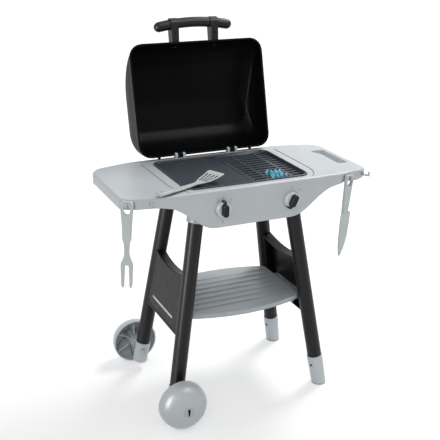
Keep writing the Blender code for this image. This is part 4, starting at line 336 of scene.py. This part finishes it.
def crease_tangent(point, edge, sharp):
    """Direction of a sharp line at a point, or the edge's own where the line turns or ends."""
    ahead = edge.other_vert(point).co - point.co
    own = ahead.normalized()
    others = [other for other in point.link_edges if other in sharp and other is not edge]
    if len(others) != 1:
        return own
    behind = point.co - others[0].other_vert(point).co
    longer = max(ahead.length, behind.length)
    if longer > UNEQUAL * min(ahead.length, behind.length) or own.angle(behind, 0) > BOW_LIMIT:
        return own
    return (own * behind.length + behind.normalized() * ahead.length).normalized()


def edge_bow(edge, sharp, areas):
    """How far the middle of an edge moves to lie on the cubic curve that its ends describe."""
    start, end = edge.verts
    length = edge.calc_length()
    if length > LONGEST_BOW or not edge.link_faces:
        return Vector()
    if edge in sharp:
        first = crease_tangent(start, edge, sharp)
        last = -crease_tangent(end, edge, sharp)
        return (first - last) * length / 8
    normals = [fan_normal(point, edge.link_faces[0], sharp, areas) for point in edge.verts]
    if not normals[0].length or not normals[1].length or normals[0].angle(normals[1]) > BOW_LIMIT:
        return Vector()
    half = (end.co - start.co) / 2
    return (normals[1] * half.dot(normals[1]) - normals[0] * half.dot(normals[0])) / 4


def bow_curves(build):
    """Split the edges of curved faces and move the new points out to the curve."""
    build.normal_update()
    sharp = {edge for edge in build.edges
             if len(edge.link_faces) != 2 or edge.calc_face_angle(0) > SMOOTH_ANGLE}
    areas = {face: face.calc_area() for face in build.faces}
    bows = {}
    for edge in build.edges:
        bow = edge_bow(edge, sharp, areas)
        if bow.length > LEAST_BOW:
            bows[edge] = bow
    places = [((edge.verts[0].co + edge.verts[1].co) / 2, bow) for edge, bow in bows.items()]
    for face in build.faces:
        if len(face.verts) == 4 and all(edge in bows for edge in face.edges):
            middle = sum((point.co for point in face.verts), Vector()) / 4
            places.append((middle, sum((bows[edge] for edge in face.edges), Vector()) / 2))
    if not places:
        return
    lookup = KDTree(len(places))
    for number, (place, bow) in enumerate(places):
        lookup.insert(place, number)
    lookup.balance()
    known = set(build.verts)
    bmesh.ops.subdivide_edges(build, edges=list(bows), cuts=1, use_grid_fill=True)
    for point in build.verts:
        if point not in known:
            place, number, distance = lookup.find(point.co)
            if distance < MERGE_DISTANCE:
                point.co += places[number][1]


def skin(node, material):
    """Copy of a solid with merged points, flat faces rejoined, curves bowed and smooth shading."""
    source = frame["nodes"][node]
    build = bmesh.new()
    build.from_mesh(source.data)
    bmesh.ops.remove_doubles(build, verts=build.verts, dist=MERGE_DISTANCE)
    bmesh.ops.dissolve_limit(build, angle_limit=FLAT_ANGLE, verts=build.verts, edges=build.edges,
                             use_dissolve_boundaries=False)
    for _ in range(BOW_ROUNDS):
        bow_curves(build)
    piece = new_object(node + "_skin", build, material)
    piece.data.set_sharp_from_angle(angle=SMOOTH_ANGLE)
    flats = piece.modifiers.new("flats", "WEIGHTED_NORMAL")
    flats.keep_sharp = True
    flats.weight = FLAT_WEIGHT
    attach(piece, source["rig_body"])
    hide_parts(node)


def dome(name, middle, turn, half, drop, material):
    """Small raised dome that faces the front or is turned to the left, drawn out downwards where asked."""
    build = bmesh.new()
    rings = []
    for ring in range(DOME_RINGS):
        rise = math.pi / 2 * ring / DOME_RINGS
        points = []
        for side in range(DOME_SIDES):
            angle = 2 * math.pi * side / DOME_SIDES
            x = math.sin(angle) * half * math.cos(rise)
            z = math.cos(angle) * half * math.cos(rise)
            if z < 0:
                z -= drop * (z / half) ** 2
            points.append(build.verts.new((x, -math.sin(rise) * DOME_HEIGHT, z)))
        rings.append(points)
    tip = build.verts.new((0, -DOME_HEIGHT, 0))
    for inner, outer in zip(rings[1:], rings):
        for side in range(DOME_SIDES):
            build.faces.new((outer[side - 1], outer[side], inner[side], inner[side - 1]))
    for side in range(DOME_SIDES):
        build.faces.new((rings[-1][side - 1], rings[-1][side], tip))
    build.faces.new(rings[0])
    bmesh.ops.recalc_face_normals(build, faces=build.faces)
    build.transform(Matrix.Translation(middle) @ Matrix.Rotation(-turn, 4, "Z"))
    piece = new_object(name, build, material)
    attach(piece, "stand")


def fascia_dot(number, knob, across, up, half, drop, material):
    """Raised dot on the front beside a knob."""
    low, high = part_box(knob)
    middle = Vector(((low.x + high.x) / 2 + across, FASCIA_Y, (low.z + high.z) / 2 + up))
    dome("front_dot_%d" % number, middle, 0, half, drop, material)


def foot_dot(foot, material):
    """Dark dot of painted shade for the shaded hole of the pin that holds a foot, on the foot's surface.
    """
    low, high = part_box(foot)
    pin_low, pin_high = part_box(foot.replace("_right_foot", "_foot_pin"))
    middle = Vector(((low.x + high.x) / 2, (low.y + high.y) / 2, (pin_low.z + pin_high.z) / 2))
    out = Vector((-math.sin(FOOT_DOT_TURN), -math.cos(FOOT_DOT_TURN), 0))
    build = bmesh.new()
    build.from_mesh(frame["nodes"][foot].data)
    place = BVHTree.FromBMesh(build).ray_cast(middle + out * FOOT_REACH, -out)[0]
    build.free()
    dome(foot + "_dot", place, FOOT_DOT_TURN, FOOT_DOT_HALF, 0, material)


def shelf_tongue(side, material):
    """Rounded end of the shelf's tongue that stands a little out of a side panel."""
    low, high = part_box("shelf")
    end = high.x if side > 0 else low.x
    middle = (low.y + high.y) / 2
    build = bmesh.new()
    bmesh.ops.create_cube(build, size=1.0)
    for point in build.verts:
        out = TONGUE_PROUD if point.co.x > 0 else -TONGUE_DEPTH
        height = TONGUE_LOW_Z if point.co.z < 0 else TONGUE_HIGH_Z
        point.co = Vector((end + side * out, middle + point.co.y * TONGUE_LENGTH, height))
    bmesh.ops.recalc_face_normals(build, faces=build.faces)
    bmesh.ops.bevel(build, geom=build.edges, offset=TONGUE_EDGE, segments=TONGUE_EDGE_STEPS, profile=0.5,
                    affect="EDGES")
    piece = new_object("left_tongue_end" if side < 0 else "right_tongue_end", build, material)
    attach(piece, "stand")


def coin_slot(pin, side, material):
    """Dark tapered bar of painted shade that stands for the shaded coin slot in the head of an axle pin.
    """
    low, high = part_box(pin)
    face = high.y if side > 0 else low.y
    middle = Vector(((low.x + high.x) / 2, face, (low.z + high.z) / 2))
    build = bmesh.new()
    rings = []
    for out in (SLOT_PROUD, -SLOT_DEPTH):
        points = []
        for end, (reach, half) in enumerate((SLOT_WIDE, SLOT_NARROW)):
            for step in range(SLOT_STEPS + 1):
                angle = math.pi * (end + step / SLOT_STEPS)
                points.append(build.verts.new(middle + Vector((
                    math.cos(angle) * half, side * out, reach + math.sin(angle) * half))))
        rings.append(points)
    build.faces.new(rings[0])
    build.faces.new(rings[1][::-1])
    for spot in range(len(rings[0])):
        build.faces.new((rings[0][spot - 1], rings[1][spot - 1], rings[1][spot], rings[0][spot]))
    bmesh.ops.recalc_face_normals(build, faces=build.faces)
    piece = new_object(pin.replace("axle_pin", "coin_slot"), build, material, smooth=False)
    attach(piece, frame["nodes"][pin]["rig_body"])


def make_camera(origin):
    """Camera at the photograph's place and angle."""
    forward = Vector((math.sin(CAMERA_YAW) * math.cos(CAMERA_PITCH),
                      math.cos(CAMERA_YAW) * math.cos(CAMERA_PITCH), -math.sin(CAMERA_PITCH)))
    level = Vector((math.cos(CAMERA_YAW), -math.sin(CAMERA_YAW), 0))
    upright = level.cross(forward)
    right = level * math.cos(CAMERA_ROLL) + upright * math.sin(CAMERA_ROLL)
    up = upright * math.cos(CAMERA_ROLL) - level * math.sin(CAMERA_ROLL)
    data = bpy.data.cameras.new("camera")
    data.sensor_fit = "HORIZONTAL"
    data.sensor_width = SENSOR_MILLIMETRES
    data.lens = FOCAL_PIXELS / IMAGE_SIZE * data.sensor_width
    camera = bpy.data.objects.new("camera", data)
    camera.matrix_world = Matrix.Translation(origin + CAMERA_PLACE) @ Matrix(
        (right, up, -forward)).transposed().to_4x4()
    bpy.context.scene.collection.objects.link(camera)
    bpy.context.scene.camera = camera


def area_light(name, place, target, width, height, power, gloss_only):
    """Round or oblong lamp that faces a target."""
    data = bpy.data.lights.new(name, "AREA")
    data.shape = "ELLIPSE" if width == height else "RECTANGLE"
    data.size = width
    data.size_y = height
    data.energy = power
    light = bpy.data.objects.new(name, data)
    light.location = place
    light.rotation_euler = (target - place).to_track_quat("-Z", "Y").to_euler()
    light.visible_diffuse = not gloss_only
    bpy.context.scene.collection.objects.link(light)


def seen_factor(tree):
    """One for camera, glossy and transmission rays, and zero for the rays that light the grill."""
    path = add(tree, "ShaderNodeLightPath")
    total = path.outputs["Is Camera Ray"]
    for name in ("Is Glossy Ray", "Is Transmission Ray"):
        either = add(tree, "ShaderNodeMath", operation="MAXIMUM")
        tree.links.new(total, either.inputs[0])
        tree.links.new(path.outputs[name], either.inputs[1])
        total = either.outputs[0]
    return total


def make_world():
    """Even soft light, seen as plain white."""
    world = bpy.data.worlds.new("studio")
    world.use_nodes = True
    tree = world.node_tree
    background = tree.nodes["Background"]
    background.inputs["Color"].default_value = (1, 1, 1, 1)
    background.inputs["Strength"].default_value = WORLD_STRENGTH
    white = add(tree, "ShaderNodeBackground")
    white.inputs["Color"].default_value = (1, 1, 1, 1)
    mix = add(tree, "ShaderNodeMixShader")
    tree.links.new(seen_factor(tree), mix.inputs[0])
    tree.links.new(background.outputs[0], mix.inputs[1])
    tree.links.new(white.outputs[0], mix.inputs[2])
    tree.links.new(mix.outputs[0], tree.nodes["World Output"].inputs["Surface"])
    bpy.context.scene.world = world


def make_floor():
    """Wide pale floor that keeps the grill's soft shadow and runs out to white."""
    mesh = bpy.data.meshes.new("floor")
    half = FLOOR_SIZE / 2
    mesh.from_pydata([(-half, -half, 0), (half, -half, 0), (half, half, 0), (-half, half, 0)], [],
                     [(0, 1, 2, 3)])
    floor = bpy.data.objects.new("floor", mesh)
    bpy.context.scene.collection.objects.link(floor)
    material = bpy.data.materials.new("floor")
    material.use_nodes = True
    tree = material.node_tree
    shader = tree.nodes["Principled BSDF"]
    shader.inputs["Base Color"].default_value = (FLOOR_COLOUR, FLOOR_COLOUR, FLOOR_COLOUR, 1)
    shader.inputs["Roughness"].default_value = FLOOR_ROUGHNESS
    shader.inputs["Specular IOR Level"].default_value = 0.0
    shader.inputs["Emission Color"].default_value = (1, 1, 1, 1)
    distance = add(tree, "ShaderNodeVectorMath", operation="LENGTH")
    tree.links.new(add(tree, "ShaderNodeTexCoord").outputs["Object"], distance.inputs[0])
    spread = remap(tree, distance.outputs["Value"], (NEAR_DISTANCE, FAR_DISTANCE), (NEAR_GLOW, FAR_GLOW))
    glow = add(tree, "ShaderNodeMath", operation="MULTIPLY")
    tree.links.new(seen_factor(tree), glow.inputs[0])
    tree.links.new(spread, glow.inputs[1])
    tree.links.new(glow.outputs[0], shader.inputs["Emission Strength"])
    mesh.materials.append(material)


def legs_middle():
    """Middle of the four legs on the floor."""
    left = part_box("front_left_leg")[0]
    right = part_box("rear_right_leg")[1]
    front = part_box("front_wheel")[0]
    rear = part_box("rear_wheel")[1]
    return Vector(((left.x + right.x) / 2, (front.y + rear.y) / 2, 0))


def main():
    """Dress every solid, then set up the camera, the floor, the small raised parts and the lamps."""
    origin = legs_middle()
    slots = {entry["node"]: entry["material_slot"] for entry in frame["record"]["subparts"]}
    materials = {}
    for node, slot in slots.items():
        look = NODE_LOOKS.get(node, slot)
        if look not in materials:
            materials[look] = finish_material(look, slot)
        skin(node, materials[look])
    make_camera(origin)
    make_world()
    make_floor()
    for side in (-1, 1):
        # Painted light: the tongue ends take the lighter dial finish, not the shelf's grey, so they read
        # as lit by the lamp on the left
        shelf_tongue(side, materials["dial"])
    # Painted shade: near-black bars in the pin heads stand for the shade inside the coin slots
    shade = finish_material("slot_shade", "wheel_grey")
    coin_slot("front_axle_pin", -1, shade)
    coin_slot("rear_axle_pin", 1, shade)
    # Painted shade: dark dots on the feet stand for the shade in the pin holes
    for foot in ("front_right_foot", "rear_right_foot"):
        foot_dot(foot, materials["pin_hole_shade"])
    for number, dot in enumerate(FASCIA_DOTS):
        fascia_dot(number, *dot, materials["table_grey"])
    for name, place, width, height, power, gloss_only in LAMPS:
        area_light(name, origin + place, origin + LAMP_TARGET, width, height, power, gloss_only)
    bpy.context.scene.view_settings.view_transform = "Standard"


main()
